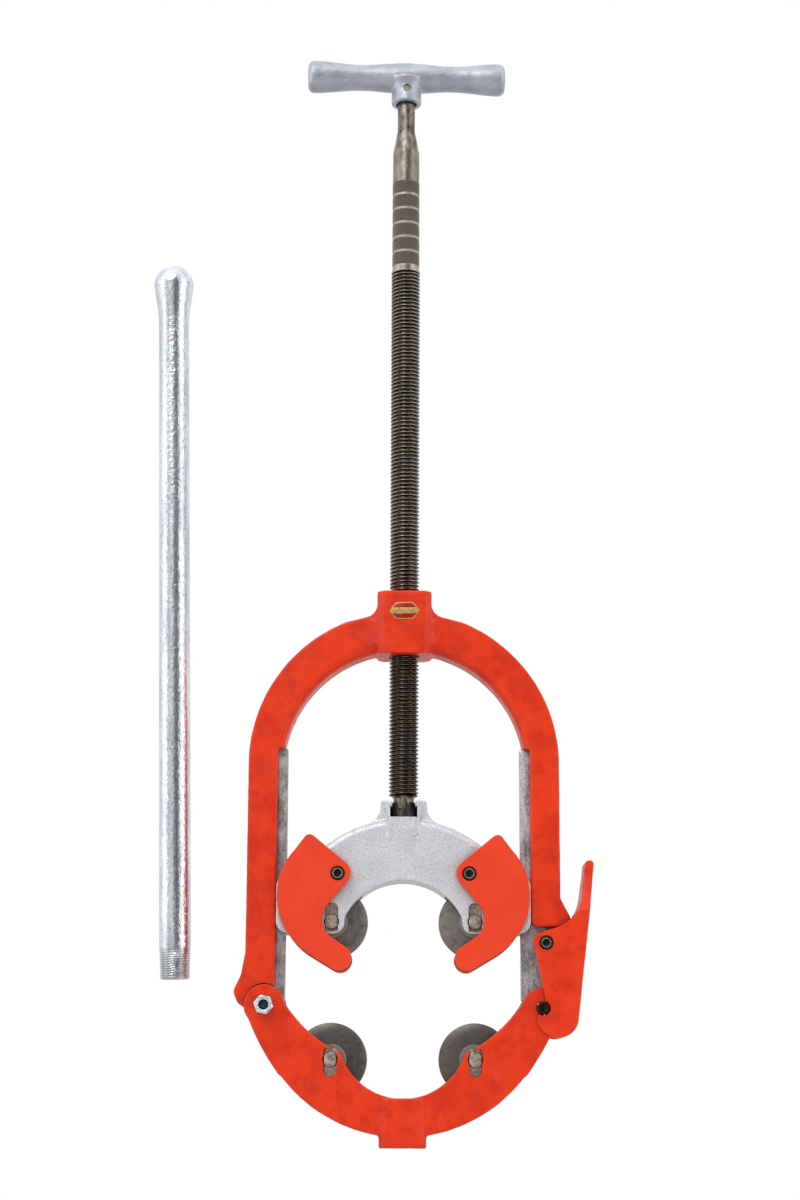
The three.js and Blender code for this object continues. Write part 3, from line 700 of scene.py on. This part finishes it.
def build_upper_frame():
    boss_top = extent("upper_frame")[1].z
    arch_z, arch_r, inner_z, inner_r = 302, 125, 297.5, 97.5
    lug_reach, feed_r, pivot_r = 9.7, 12.65, 4.2
    outer_left = arc(0, arch_z, arch_r, 180, 112, 48)
    band = [
        (-arch_r, 150, 12), *outer_left, (-22, 424, 12), (-22, boss_top - 0.6), (22, boss_top - 0.6), (22, 424, 12),
        *mirrored(outer_left), (125, 194, 8), (133, 179, 4), (131.5, 171.5, 4), (101.5, 171.5, 6), (101.5, WAY_TOP),
        (95.6, WAY_TOP), *arc(0, inner_z, inner_r, 12, 168, 96), (-95.6, WAY_TOP), (-101.5, WAY_TOP),
        (-101.5, 109.5), (-123, 109.5), (-123, 120.9), (-133.4, 120.9, 1.5), (-128.3, 134, 9),
    ]
    boss = [(-17, -22.3), (17, -22.3), (22.2, -17), (22.2, 17), (17, 22.3), (-17, 22.3), (-22.2, 17), (-22.2, -17)]
    hem = [(31, 16.05), (27, 16.5), (24.2, 17.3), (21.6, 18.7)]
    hem += mirrored(hem)
    skirt = [(-x, -y) for x, y in hem] + hem
    lug = [
        (-108, 156), (-124, 152), (-128.0, 134.5, 6), (-134.7, 120.5, 6), (-131.2, 111.5, 7), (-124, 106.4),
        (-104, 112),
    ]
    casting = scratch(slab(band, FRAME_REACH))
    for face in FACES:
        ridge, rim = (arch_z, 101.5, FRAME_REACH + 0.3), (inner_z, inner_r, 9.0)
        cut(casting, rounding_wedge(face, ridge, rim, -2, 182), lug_slope(face))
    cut(casting, cross_bar(HINGE, 15, -18, 18))
    boss, skirt = swapped(prism(boss, 391, boss_top), Y, Z), swapped(prism(skirt, 399, 419), Y, Z)
    combined(casting, [boss, skirt, slab(lug, lug_reach)])
    softened(casting, 0.9, 7, 0.16)
    mouth = spun([(0, boss_top - 1.2), (12.6, boss_top - 1.2), (14.2, boss_top + 0.6), (0, boss_top + 0.6)])
    way_seat = slab(rectangle(-108.4, -94.4, 104, WAY_TOP - 0.4), WAY_REACH + 0.02)
    knuckle_room = [cross_bar(HINGE, 17.2, *layer(face, WAY_REACH, 18), 96) for face in FACES]
    cut(casting, upright_bar(feed_r, 370, boss_top + 1), mouth, bore(HINGE, HINGE_BORE), way_seat, *knuckle_room)
    finished(casting, "upper_frame_casting", "frame", RED, "upper_frame")

    left = scratch(slab([(-108, 113.6), (-WAY_X, 113.6, 0.5), (-WAY_X, WAY_TOP), (-108, WAY_TOP)], WAY_REACH))
    combined(left, [cross_bar(HINGE, 14.4, -WAY_REACH + 0.04, WAY_REACH - 0.04)])
    bevelled(cut(left, bore(HINGE, HINGE_BORE)), 0.5, 3, 35)
    finished(left, "left_way", "frame", MACHINED)
    tongue = [(WAY_X, 114.2), (122, 114.2, 5), (127, 140, 6), (127, 180), (108, 180), (108, WAY_TOP), (WAY_X, WAY_TOP)]
    right = scratch(slab(tongue, WAY_REACH))
    bevelled(cut(right, bore(LATCH_PIVOT, pivot_r)), 0.5, 3, 35)
    finished(right, "right_way_and_tongue", "frame", MACHINED)


def build_badge():
    """A small oval plate with a thin cream rim, a dark red ground and a plain cream band."""
    low, high = extent("badge_plate")
    middle, half_width, half_height = (low.z + high.z) / 2, (high.x - low.x) / 2, (high.z - low.z) / 2
    about = Matrix.Translation((0, 0, middle))
    tilt = about @ Matrix.Rotation(math.radians(-1.5), 4, "Y") @ about.inverted()
    front, back = low.y, -21.6

    def leaf(w, h, share, tip, corner):
        return [
            (-w, middle, tip), (-w * share, middle - h, corner), (w * share, middle - h, corner), (w, middle, tip),
            (w * share, middle + h, corner), (-w * share, middle + h, corner),
        ]

    inset = half_width - 0.75, half_height - 0.75
    parts = [
        ("badge_rim", leaf(half_width, half_height, 0.6, 1.2, 5), front + 0.25, BADGE_CREAM),
        ("badge_ground", leaf(*inset, 0.6, 1.2, 5), front + 0.1, BADGE_GROUND),
        ("badge_band", leaf(half_width - 0.4, half_height * 0.36, 0.84, 0.6, 0.5), front, BADGE_CREAM),
    ]
    for name, corners, face, finish in parts:
        plate = scratch(prism(corners, face, back))
        plate.data.transform(tilt)
        finished(bevelled(plate, 0.12, 2, 35), name, "frame", finish, "badge_plate")
    head = [(0, 0.9), (1.0, 0.85), (1.5, 0.5), (1.7, 0), (1.7, -0.9), (0, -0.9)]
    for side in SIDES:
        rivet = scratch(spun(head, "Y", (side * (half_width - 3.2), front - 0.05, middle), 24))
        rivet.data.transform(tilt)
        finished(rivet, f"badge_rivet_{SIDES[side]}", "frame", BADGE_CREAM)


# ---- wheel seats, wheels and pins


def pocket_outline(at, pocket_up, half):
    """The upright pocket that a wheel pin's end lies in: square next to the pin, round at the far end."""
    near, far = (at.z - 7.9, at.z + 14.9) if pocket_up else (at.z + 8.5, at.z - 13.2)
    corners = rectangle(at.x - half, at.x + half, min(near, far), max(near, far), half - 0.5)
    return [(x, z, 1.5 if z == near else r) for x, z, r in corners]


def wheel_slot(at):
    return [cross_bar(at, WHEEL_ROOM, -SLOT_REACH, SLOT_REACH), bore(at, WHEEL_BORE)]


def wheel_seats(carrier, reach):
    """What a carrier loses for its two wheels: their slots, pin bores and pin pockets."""
    cutters = []
    for name, at in WHEELS.items():
        if name.startswith(carrier):
            outline = pocket_outline(at, carrier == "upper", 5.2)
            pockets = [prism(outline, *layer(face, reach - 6, reach + 3)) for face in FACES]
            cutters += [*wheel_slot(at), *pockets]
    return cutters


def build_pocket_floors(carrier, reach, body):
    """The bare milled floors of the pin pockets, on both faces."""
    for name, at in WHEELS.items():
        for face in FACES if name.startswith(carrier) else ():
            floor = prism(pocket_outline(at, carrier == "upper", 5.15), *layer(face, reach - 6.4, reach - 5.9))
            plate = cut(scratch(floor), *wheel_slot(at))
            finished(plate, f"{name}_pocket_{FACES[face]}", body, PIN)


def build_wheels():
    flat_x, flat_reach = 4.75, 11.65
    for name, at in WHEELS.items():
        low, high = extent(f"{name}_cutter_wheel")
        r, hub = (high.x - low.x) / 2, (high.y - low.y) / 2
        rear = [
            (r, 0.1), (r - 0.2, 0.22), (r - 5, 1.5), (r - 9, 2.2), (14, 2.6), (12.9, 2.75), (12.3, 3.4),
            (12.3, hub - 0.4), (11.9, hub), (WHEEL_BORE, hub),
        ]
        wheel = scratch(spun(doubled(rear), "Y", sides=160))
        finished(wheel, f"{name}_wheel_disc", f"{name}_wheel", WHEEL[name[:5]], f"{name}_cutter_wheel", 30, at)

        low, high = extent(f"{name}_wheel_pin")
        half = (high.y - low.y) / 2
        pin = scratch(turned(doubled([(6.0, half - 0.7), (5.3, half), (0, half)]), at))
        for face in FACES:
            for side in SIDES:
                x0, x1 = sorted((at.x + side * flat_x, at.x + side * 9))
                cut(pin, block(x0, x1, *layer(face, flat_reach, 30), at.z - 9, at.z + 9))
        body = "yoke" if name.startswith("upper") else "jaw"
        finished(bevelled(pin, 0.3), f"{name}_pin", body, PIN, f"{name}_wheel_pin")


# ---- lower jaw


def build_lower_jaw():
    socket_r, socket_top, boss_x, boss_z = 13.3, 32, 18.6, 38
    belly = arc(0, 129, 120.8, -142, -38, 96)
    flank = arc(-55.4, 170.8, 191, -37.1, -19.8, 24)
    lobe = arc(CATCH_PIN.x, CATCH_PIN.z, 16.1, 15, 155, 40)
    shoulder = arc(0, 175, 113.5, -34.6, -59.5, 24)
    bed = arc(0, 89.2, 51.6, -20, -160, 64)
    band = [
        *mirrored(flank), *belly, *flank, *lobe, *shoulder, (49.4, 73.3, 3), *bed, (-49.4, 73.3, 3),
        *mirrored(shoulder),
    ]
    knuckle = cross_bar(HINGE, 16.1, -JAW_REACH, JAW_REACH, 96)
    boss = block(-boss_x, boss_x, -JAW_REACH, JAW_REACH, 0, boss_z)
    pad = prism([(-15.4, 0), (15.4, 0), (14.2, boss_z), (-14.2, boss_z)], -22.2, 22.2)
    casting = combined(scratch(slab(band, JAW_REACH)), [knuckle, boss, pad])
    softened(casting, 0.95, 6, 0.16)
    cut(
        casting, cross_bar(HINGE, 31, -SLOT_REACH, SLOT_REACH, 96), block(89, 140, -SLOT_REACH, SLOT_REACH, 99.5, 130),
        bore(HINGE, HINGE_BORE), bore(CATCH_PIN, 5.25), upright_bar(socket_r, -2, socket_top),
        spun([(0, -2), (14.9, -2), (14.9, 0.1), (socket_r, 1.6), (0, 1.6)]), *wheel_seats("lower", JAW_REACH),
    )
    for v in casting.data.vertices:  # the machined underside stays flat
        v.co.z = max(v.co.z, 0)
    finished(casting, "lower_jaw_casting", "jaw", RED, "lower_jaw")

    # the socket's thread, as turned rings inside the bore
    rings = [(13.34, 0.4)]
    z = 1.4
    while z < 27:
        rings += [(12.75, z), (12.75, z + 0.25), (13.3, z + 0.95)]
        z += HANDLE_PITCH
    rings += [(13.34, 31.9), (13.5, 31.9), (13.5, 0.4)]
    finished(scratch(spun(rings)), "socket_thread", "jaw", PIN)
    build_pocket_floors("lower", JAW_REACH, "jaw")


def socket_screw(at, face, head_r, head_reach, shank_r, shank_reach, across, name, body, replaces):
    """A socket head screw along Y: a domed head with a six-sided socket and a rubbed lip, and its shank."""
    near, depth, dome, socket_depth = head_reach[0], head_reach[1] - head_reach[0], 0.9, 2.0

    def screw_part(profile, sides=64):
        return turned([(r, face * (near + h)) for r, h in profile], at, sides)

    key_r = across / math.sqrt(3)
    item = scratch(screw_part([
        (0, shank_reach - near), (shank_r, shank_reach - near), (shank_r, 0), (head_r, 0), (head_r, depth - dome * 0.8),
        (head_r - 0.18, depth - dome * 0.35), (head_r - 0.7, depth), (0, depth),
    ]))
    cut(item, screw_part(rod(key_r, depth - socket_depth, depth + 1), 6))
    finished(bevelled(item, 0.15), name, body, BLACK, replaces)
    lip = [(0.3, -0.3), (0.45, 0.08), (1.0, 0.08), (1.15, -0.3)]
    rim = scratch(screw_part([(key_r + out, depth + up) for out, up in lip]))
    finished(rim, f"{name}_lip", body, RUBBED)


def build_catch_pin():
    """The pin the latch hooks round: its two ends stand out into the latch's notches."""
    half, radius, key_r, key_depth = 25.2, 4.7, 2.75, 2.4
    pin = scratch(turned(doubled([(radius, half - 0.8), (radius - 0.8, half), (0, half)]), CATCH_PIN))
    for face in FACES:
        cut(pin, cross_bar(CATCH_PIN, key_r, face * half - key_depth, face * half + key_depth, 6))
    finished(bevelled(pin, 0.2), "catch_pin_turned", "jaw", BLACK, "catch_pin")


def hex_head(across, y0, y1, crowned):
    """A six-sided bar along Y on the hinge, with its corners turned off at its front or rear end."""
    r, past, crown, fall = across / math.sqrt(3), 1, 1.3, 1.3
    about = Matrix.Translation((HINGE.x, 0, HINGE.z))
    item = scratch(spun(rod(r, y0, y1), "Y", sides=6))
    item.data.transform(about @ Matrix.Rotation(math.radians(12), 4, "Y"))
    front_r, rear_r = (r - crown, r + past) if crowned == AHEAD else (r + past, r - crown)
    cone = [
        (0, y0 - past), (front_r, y0 - past), (front_r, y0), (r + 0.05, y0 + fall), (r + 0.05, y1 - fall),
        (rear_r, y1), (rear_r, y1 + past), (0, y1 + past),
    ]
    return combined(item, [turned(cone, HINGE, 96)], "INTERSECT")


def build_hinge():
    across, washer_top, crest, root = 13.6, 20.4, 3.8, 3.45
    front = extent("hinge_nut")[0].y
    nut = hex_head(across, front, -JAW_REACH, AHEAD)
    countersink = [(0, front - 0.2), (5.2, front - 0.2), (4.0, front + 1.1), (0, front + 1.1)]
    cut(nut, cross_bar(HINGE, 4.0, front - 1, -19), turned(countersink, HINGE))
    finished(bevelled(nut, 0.2, 2, 40), "hinge_nut_plated", "frame", PLATED, "hinge_nut")

    low, high = extent("hinge_bolt")
    head = hex_head(across, JAW_REACH, high.y, BEHIND)
    finished(bevelled(head, 0.2, 2, 40), "hinge_bolt_head", "frame", PLATED, "hinge_bolt")
    washer = [(4.8, JAW_REACH), (8.6, JAW_REACH), (8.6, washer_top), (4.8, washer_top)]
    finished(scratch(turned(washer, HINGE)), "hinge_washer", "frame", PLATED)
    end = low.y + 1.6
    profile = [(0, end), (3.0, end), (crest, end + 0.9)]
    y = end + 1.2
    while y < -14:
        profile += [(crest, y), (root, y + 0.55), (crest, y + 1.1)]
        y += 1.25
    profile += [(4.25, y), (4.25, 20.3), (0, 20.3)]
    finished(scratch(turned(profile, HINGE)), "hinge_bolt_shank", "frame", BOLT, "hinge_bolt")


# ---- latch


def build_latch():
    reach, cheek, bore_r, head_r = 25.7, 20.7, 4.25, 5.4
    plate = [
        (152.4, 224.6, 3.4), (137.9, 101.2), *arc(121.4, 101.2, 16.5, -10, -165, 40),
        *arc(CATCH_PIN.x, CATCH_PIN.z, 5.7, 232, 430, 36), (101.8, 164.1, 6), (139.4, 176.6, 30), (145.2, 224.6, 3.4),
    ]
    hollow = [(90, 60), (129, 60), (131.4, 101), (137.4, 156), (138.2, 186, 4), (120, 192), (90, 192)]
    taper = [(26.4, 182), (16, 212), (16, 240), (30, 240), (30, 182)]
    tapers = [swapped(prism([(face * y, z) for y, z in taper], 110, 165), X, Y) for face in FACES]
    latch = softened(cut(scratch(slab(plate, reach)), slab(hollow, cheek), *tapers), 0.8, 4, 0.1)
    combined(latch, [cross_bar(LATCH_PIVOT, 9, *layer(face, 8.45, cheek + 1)) for face in FACES])
    cut(latch, bore(LATCH_PIVOT, bore_r), cross_bar(LATCH_PIVOT, head_r + 0.35, -30, -22.7))
    finished(latch, "latch_casting", "latch", RED, "latch")
    stands_for = "latch_pivot_screw"
    socket_screw(LATCH_PIVOT, AHEAD, head_r, (23.0, 25.9), 3.9, 0.0, 4.8, "latch_screw_front", "frame", stands_for)
    shank = scratch(turned([(0, -2), (3.85, -2), (3.85, 24.4), (3.3, 25), (0, 25)], LATCH_PIVOT))
    finished(shank, "latch_screw_shank", "frame", BLACK, stands_for)


# ---- wheel yoke


def build_yoke():
    dome_z, dome_r, bed_r, rib_x, rib_y, rib_top = 156, 101, 51.6, 12.4, 20.5, 271.4
    right = [
        *arc(0, dome_z, bed_r, 90, 26, 32), (47.1, 165.2, 9.2), (86, 165.8), (101.1, 165.8, 9), (101.1, 210, 5),
        *arc(0, dome_z, dome_r, 30, 88, 48),
    ]
    casting = scratch(slab([*right, *mirrored(right[1:])], YOKE_REACH))
    ridge, rim = (dome_z, 94.5, YOKE_REACH + 0.2), (dome_z, dome_r + 0.3, 12.5)
    cut(casting, *[rounding_wedge(face, ridge, rim, 34, 146) for face in FACES])
    neck = [(41, 238), (41, 248.6), (18.6, 256.6, 15), (18.6, 272, 2)]
    ramp = [(-12, 249), (-rib_y, 249), (-17.2, 236), (17.2, 236), (rib_y, 249), (12, 249)]
    rib = block(-rib_x, rib_x, -rib_y, rib_y, 248, rib_top)
    combined(casting, [slab([*neck, *mirrored(neck)], 13.8), rib, swapped(prism(ramp, -rib_x, rib_x), X, Y)])
    softened(casting, 0.8, 4, 0.12, 7)
    window = []
    for half, low, high in ((10.9, 258, 267.1), (9.2, 266, 273)):
        window += [upright_bar(half, low, high), block(-half, half, -30, 0, low, high)]
    way_room = [slab(rectangle(WAY_X - 0.5, 110, 150, 230), WAY_REACH + 0.35, side) for side in SIDES]
    holes = [cross_bar(at, 3.35, *layer(face, 10, 22)) for face in FACES for at in GUIDE_PIVOTS.values()]
    cut(casting, *window, *way_room, *holes, *wheel_seats("upper", YOKE_REACH))
    finished(casting, "wheel_yoke_casting", "yoke", SILVER, "wheel_yoke")
    build_pocket_floors("upper", YOKE_REACH, "yoke")


# ---- pipe guides


def build_guides():
    outline = [
        (37.8, 214.2, 10), (72.3, 172.5, 17), (37.4, 149.2, 9.3), (47.8, 133.2, 9.3),
        *arc(46.5, 195, 53.7, -60, 43, 48), (75.6, 245.3, 5),
    ]
    holes = [(3.35, 19, 28), (5.85, 24.6, 28), (8.2, 19, 24)]  # the screw's shank, its head and the spring
    for face in FACES:
        for side, at in GUIDE_PIVOTS.items():
            name = f"{FACES[face]}_{SIDES[side]}_guide"
            plate = softened(scratch(prism(outline, *layer(face, 20, 27), side)), 0.6, 4, 0.03, 5)
            cut(plate, *[cross_bar(at, radius, *layer(face, near, far)) for radius, near, far in holes])
            finished(plate, f"{name}_plate", name, GUIDE, name, 40)
            head = f"{name}_screw_head"
            socket_screw(at, face, 5.5, (24.9, 27.9), 3.0, 11.0, 5.0, head, "yoke", f"{name}_screw")
            build_spring(at, face, side, name)


def wire_along(points, radius, sides=10):
    """A round wire through points, closed at both ends."""
    rings = []
    up = Vector((0, 1, 0))
    turns = [2 * math.pi * k / sides for k in range(sides)]
    for i, p in enumerate(points):
        along = (points[min(i + 1, len(points) - 1)] - points[max(i - 1, 0)]).normalized()
        across = along.cross(up).normalized()
        up = across.cross(along).normalized()
        rings.append([p + (across * math.cos(t) + up * math.sin(t)) * radius for t in turns])
    return skinned(rings)


def build_spring(at, face, side, name):
    """Two turns of wire round the pivot, and a leg that shows above the guide's upper edge."""
    coil_r, wire_r, coil_pitch, steps, reach = 6.1, 0.72, 1.75, 48, 20.0 - 0.95
    leg = math.radians(60)
    points = []
    for k in range(2 * steps, -1, -1):
        angle = leg - math.pi / 2 + 2 * math.pi * k / steps
        y = face * (reach + coil_pitch * k / steps)
        points.append(Vector((side * coil_r * math.cos(angle), y, coil_r * math.sin(angle))))
    direction = Vector((side * math.cos(leg), 0, math.sin(leg)))
    points += [points[-1] + direction * d for d in (3, 8, 14, 20, 26, 31, 33.5)]
    hook = [(side * 0.5, 0, 0.9), (side * 0.3, face * 0.9, 1.3), (0, face * 1.9, 1.3)]
    points += [points[-1] + Vector(step) for step in hook]
    wire = scratch(wire_along([p + Vector((at.x, 0, at.z)) for p in points], wire_r))
    finished(wire, f"{name}_spring_wire", name, WIRE, f"{name}_spring")


# ---- feed screw and tee handle


def relief_cylinder(rows, columns, radius_at):
    """A closed round bar along Z whose radius is a function of height and angle."""
    z, t = np.meshgrid(np.array(rows), 2 * np.pi * np.arange(columns) / columns, indexing="ij")
    r = radius_at(z, t)
    co = np.stack([r * np.cos(t), r * np.sin(t), z], axis=-1).reshape(-1, 3)
    row, column = np.meshgrid(np.arange(len(rows) - 1) * columns, np.arange(columns), indexing="ij")
    following = (column + 1) % columns
    corners = [row + column, row + following, row + columns + following, row + columns + column]
    quads = np.stack(corners, axis=-1).reshape(-1, 4)
    caps = [list(range(columns))[::-1], list(range((len(rows) - 1) * columns, len(rows) * columns))]
    mesh = bpy.data.meshes.new("relief")
    mesh.from_pydata(co.tolist(), [], quads.tolist() + caps)
    return placed(mesh, "relief")


def thread_turn(z, t, pitch):
    """How far a point is from the middle of a thread's root: 0 there, 1 on the crest."""
    return np.abs(np.mod(z / pitch - t / (2 * np.pi), 1.0) - 0.5) * 2


def fade(z, start, length):
    """Rises from 0 to 1 along a length; a negative length falls towards start."""
    return np.clip((z - start) / length, 0, 1)


def build_feed_screw():
    collar, neck, thread, grip, cone, stem, top = 258.4, 266.7, 277, 724.3, 833, 851, 892.5
    knurl_teeth, knurl_lead = 32, 2 * np.pi / 2.4

    def thread_radius(z, t):
        zs = [collar, collar + 0.6, neck - 0.5, neck, thread - 2.5, thread - 1.2, thread]
        body = np.interp(z, zs, [9.8, 10.4, 10.4, 8.5, 8.5, 9.3, 12.2])
        tooth = fade(thread_turn(z, t, SCREW_PITCH), 0.36, 0.52)
        tooth = tooth * tooth * (3 - 2 * tooth) * 0.35 + tooth * 0.65
        depth = 1.75 * fade(z, thread - 1.2, 2.4) * fade(z, grip - 1.5, -1.6)
        return body - depth * (1 - tooth)

    rows = [collar, collar + 0.3, collar + 0.6, collar + 2.5, neck - 3, neck - 0.5, neck - 0.01, neck, neck + 3]
    rows += [thread - 4, *np.arange(thread - 2.5, grip - 0.9, SCREW_PITCH / 9), grip - 0.5]
    screw = relief_cylinder(rows, 56, thread_radius)
    screw.data.transform(SCREW_TURN)
    finished(screw, "feed_screw_thread", "feed", THREAD, "feed_screw", 60)

    starts = [KNURL_START + k * KNURL_STEP for k in range(KNURLS)]

    def grip_radius(z, t):
        zs = [grip - 0.6, grip - 0.2, grip, 816, 832.2, cone, stem, stem + 1.5, top - 1, top]
        r = np.interp(z, zs, [11.0, 11.25, 11.3, 11.3, 11.15, 10.9, 7.5, 7.4, 7.4, 6.6])
        around, along = knurl_teeth * t / 2, knurl_lead * z / 2
        rise = np.abs(np.sin(around + along)) * np.abs(np.sin(around - along))
        for low in starts:
            inside = fade(z, low, 0.4) * fade(z, low + KNURL_WIDTH, -0.4)
            r = r + inside * (0.25 - 0.85 * (1 - np.clip(rise * 1.4, 0, 1)))
        return r

    rows = [grip - 0.6, grip - 0.2, grip, *np.arange(KNURL_START - 0.6, starts[-1] + KNURL_WIDTH + 0.7, 0.27)]
    rows += [806, 812, 818, 826, 831.8, 832.4, *np.arange(cone, stem + 1, 2), 852.5, 862, 875, 890, 891.5, 892.2, top]
    item = relief_cylinder(rows, 220, grip_radius)
    item.data.transform(SCREW_TURN)
    finished(item, "feed_screw_grip", "feed", GRIP, "feed_screw", 50)


def build_tee():
    z, length, waist, pin_half = 901, 85.2, 39.5, 12.25
    taper = length - 5
    pin_at = Vector((0, 0, 887.1))

    def bar_radius(x):
        to_waist, to_end = min(abs(x) / waist, 1), max((abs(x) - waist) / (taper - waist), 0)
        swell = [(1 - math.cos(math.pi * s)) / 2 for s in (to_waist, to_end)]
        return 13.1 - 2.1 * swell[0] + 2.7 * swell[1]

    middle = [(bar_radius(x), x) for x in [taper * k / 40 for k in range(-40, 41)]]
    end = [(13.4, length - 3.6), (12.2, length - 1.6), (10.2, length - 0.5), (6, length), (0, length + 0.02)]
    bar = spun([(r, -x) for r, x in end[::-1]] + middle + end, "X", (0, 0, z))
    hub = spun([(0, 876.2), (12.2, 876.2), (12.85, 876.9), (12.85, z), (0, z)])
    neck = spun([(0, 888), (12.9, 888), (13.6, 892), (16.5, 897), (0, z)])
    casting = softened(combined(scratch(bar), [hub, neck]), 0.7, 5, 0.12, 6)
    mouth = spun([(0, 875), (9.9, 875), (8.6, 877.2), (0, 877.2)])
    cut(casting, upright_bar(8.6, 870, 893), mouth, cross_bar(pin_at, 3.2, -20, 20, 48))
    casting.data.transform(SCREW_TURN)
    finished(casting, "t_handle_casting", "feed", ZINC_CAST, "t_handle")
    rolled = [(2.8, pin_half - 0.4), (2.5, pin_half), (1.9, pin_half), (1.5, pin_half - 0.9), (0, pin_half - 0.9)]
    pin = scratch(turned(doubled(rolled), pin_at, 48))
    pin.data.transform(SCREW_TURN)
    finished(pin, "t_handle_roll_pin", "feed", ROLLED, "t_handle_pin")


# ---- loose pipe handle


def build_pipe_handle():
    length, ball, wall, lean, threaded = 598, 16.7, 9.8, math.radians(1.5), 24.5
    ball_z = length - ball

    def outer(z, t):
        zs = [0, 0.8, 26, 27.5, length - 56, length - 46, length - 38, length - 30, length - 22, ball_z]
        r = np.interp(z, zs, [11.4, 12.1, 12.55, 12.7, 12.7, 12.9, 13.6, 14.8, 16.1, ball])
        dome = np.sqrt(np.clip(ball**2 - np.clip(z - ball_z, 0, ball) ** 2, 0.3, None))
        depth = np.where(z < threaded, 0.85 * fade(z, threaded, -12) ** 0.6, 0)
        return np.where(z > ball_z, dome, r) - depth * (1 - thread_turn(z, t, HANDLE_PITCH))

    rows = [*np.arange(0, 27, 0.3), 27, 27.5, 29, *np.linspace(40, length - 60, 30)]
    rows += [*np.linspace(length - 56, ball_z, 24), *(ball_z + ball * np.sin(np.linspace(0.06, 1.56, 26)))]
    handle = relief_cylinder(rows, 96, outer)
    cut(handle, spun([(0, -2), (wall, -2), (wall, length - 46), (0, length - 40)]))
    cut(handle, spun([(0, -1), (10.9, -1), (wall, 1.2), (0, 1.2)]))
    handle.data.transform(Matrix.Translation((-181.4, 0, 130)) @ Matrix.Rotation(-lean, 4, "Y"))
    finished(handle, "pipe_handle_tube", "handle", TUBE, "pipe_handle", 50)


build_upper_frame()
build_badge()
build_wheels()
build_lower_jaw()
build_catch_pin()
build_hinge()
build_latch()
build_yoke()
build_guides()
build_feed_screw()
build_tee()
build_pipe_handle()

# ---- floor, light and camera


def build_floor():
    """A pale floor, low enough for the handle to swing above it."""
    height = -0.70
    item = scratch(spun([(0, -12), (2590, -12), (2600, -2), (2598, 0), (0, 0)], sides=128), "floor")
    item.data.transform(Matrix.Translation((0, 0, height)) @ TO_METRES)
    n = Finish("pale_floor")
    tone = n.mix(n.patches(0.3, 0.7, 400), (0.80, 0.80, 0.80), (0.84, 0.84, 0.84))
    n.colour = n.mix(n.camera_ray(), (0.45, 0.45, 0.45), tone)
    item.data.materials.append(n.done(0.7))


def build_world():
    """White to the camera; for everything else a bright studio that is dark behind the camera."""
    world = bpy.data.worlds.new("studio")
    bpy.context.scene.world = world
    n = Wiring(world)
    x, y, z = n.add("SeparateXYZ", {0: n.add("TexCoord", {}).outputs["Generated"]}).outputs
    azimuth = n.math("ARCTAN2", x, n.times(y, -1.0))
    around = n.add("ValToRGB", {0: n.math("MULTIPLY_ADD", azimuth, 1 / (2 * math.pi), 0.5)})
    stops = [  # degrees round from straight behind the camera, and how bright the studio is there
        (-180, 1.1), (-98, 1.1), (-88, 1.9), (-54, 1.9), (-47, 0.55), (-38, 0.55), (-31, 1.15), (-12, 1.0), (4, 0.26),
        (38, 0.2), (46, 1.9), (78, 1.9), (88, 1.1), (180, 1.1),
    ]
    ramp = around.color_ramp
    ramp.interpolation = "EASE"
    while len(ramp.elements) < len(stops):
        ramp.elements.new(0.5)
    for element, (angle, level) in zip(ramp.elements, stops):
        element.position = angle / 360 + 0.5
        element.color = (level / 2, level / 2, level / 2, 1)
    overhead = n.mix(n.span(z, 0.35, 0.8), around.outputs[0], (0.72, 0.72, 0.73))
    below = n.mix(n.span(z, -0.25, -0.7), overhead, (0.34, 0.34, 0.34))
    lit = n.add("Background", {"Color": below, "Strength": 1.6}).outputs[0]
    seen = n.add("Background", {"Color": (1, 1, 1), "Strength": 1.0}).outputs[0]
    chosen = n.add("MixShader", {0: n.camera_ray(), 1: lit, 2: seen}).outputs[0]
    n.add("OutputWorld", {0: chosen})


def build_light(name, place, target, size, power, mirrored_in_metal=True):
    data = bpy.data.lights.new(name, "AREA")
    data.shape = "RECTANGLE"
    data.size, data.size_y = size
    data.energy = power
    item = placed(data, name)
    item.location = place
    item.visible_glossy = mirrored_in_metal
    item.rotation_euler = (Vector(target) - Vector(place)).to_track_quat("-Z", "Y").to_euler()


def build_camera():
    data = bpy.data.cameras.new("camera")
    data.sensor_fit = "HORIZONTAL"
    data.sensor_width = 36
    data.lens = 103.5
    data.clip_start, data.clip_end = 0.05, 50
    item = placed(data, "camera")
    aim = Matrix.Rotation(math.radians(102.1), 4, "X") @ Matrix.Rotation(math.radians(0.25), 4, "Z")
    item.matrix_world = Matrix.Translation((-0.0037, -1.8529, 0.0101)) @ aim
    bpy.context.scene.camera = item


build_floor()
build_world()
build_light("key", (-0.9, -1.9, 2.3), (0, 0, 0.3), (1.6, 1.2), 20)
build_light("fill", (0.6, -1.4, -0.25), (0, 0, 0.1), (0.8, 0.8), 6, False)
build_camera()
bpy.context.scene.view_settings.view_transform = "Standard"
bpy.context.scene.view_settings.look = "None"
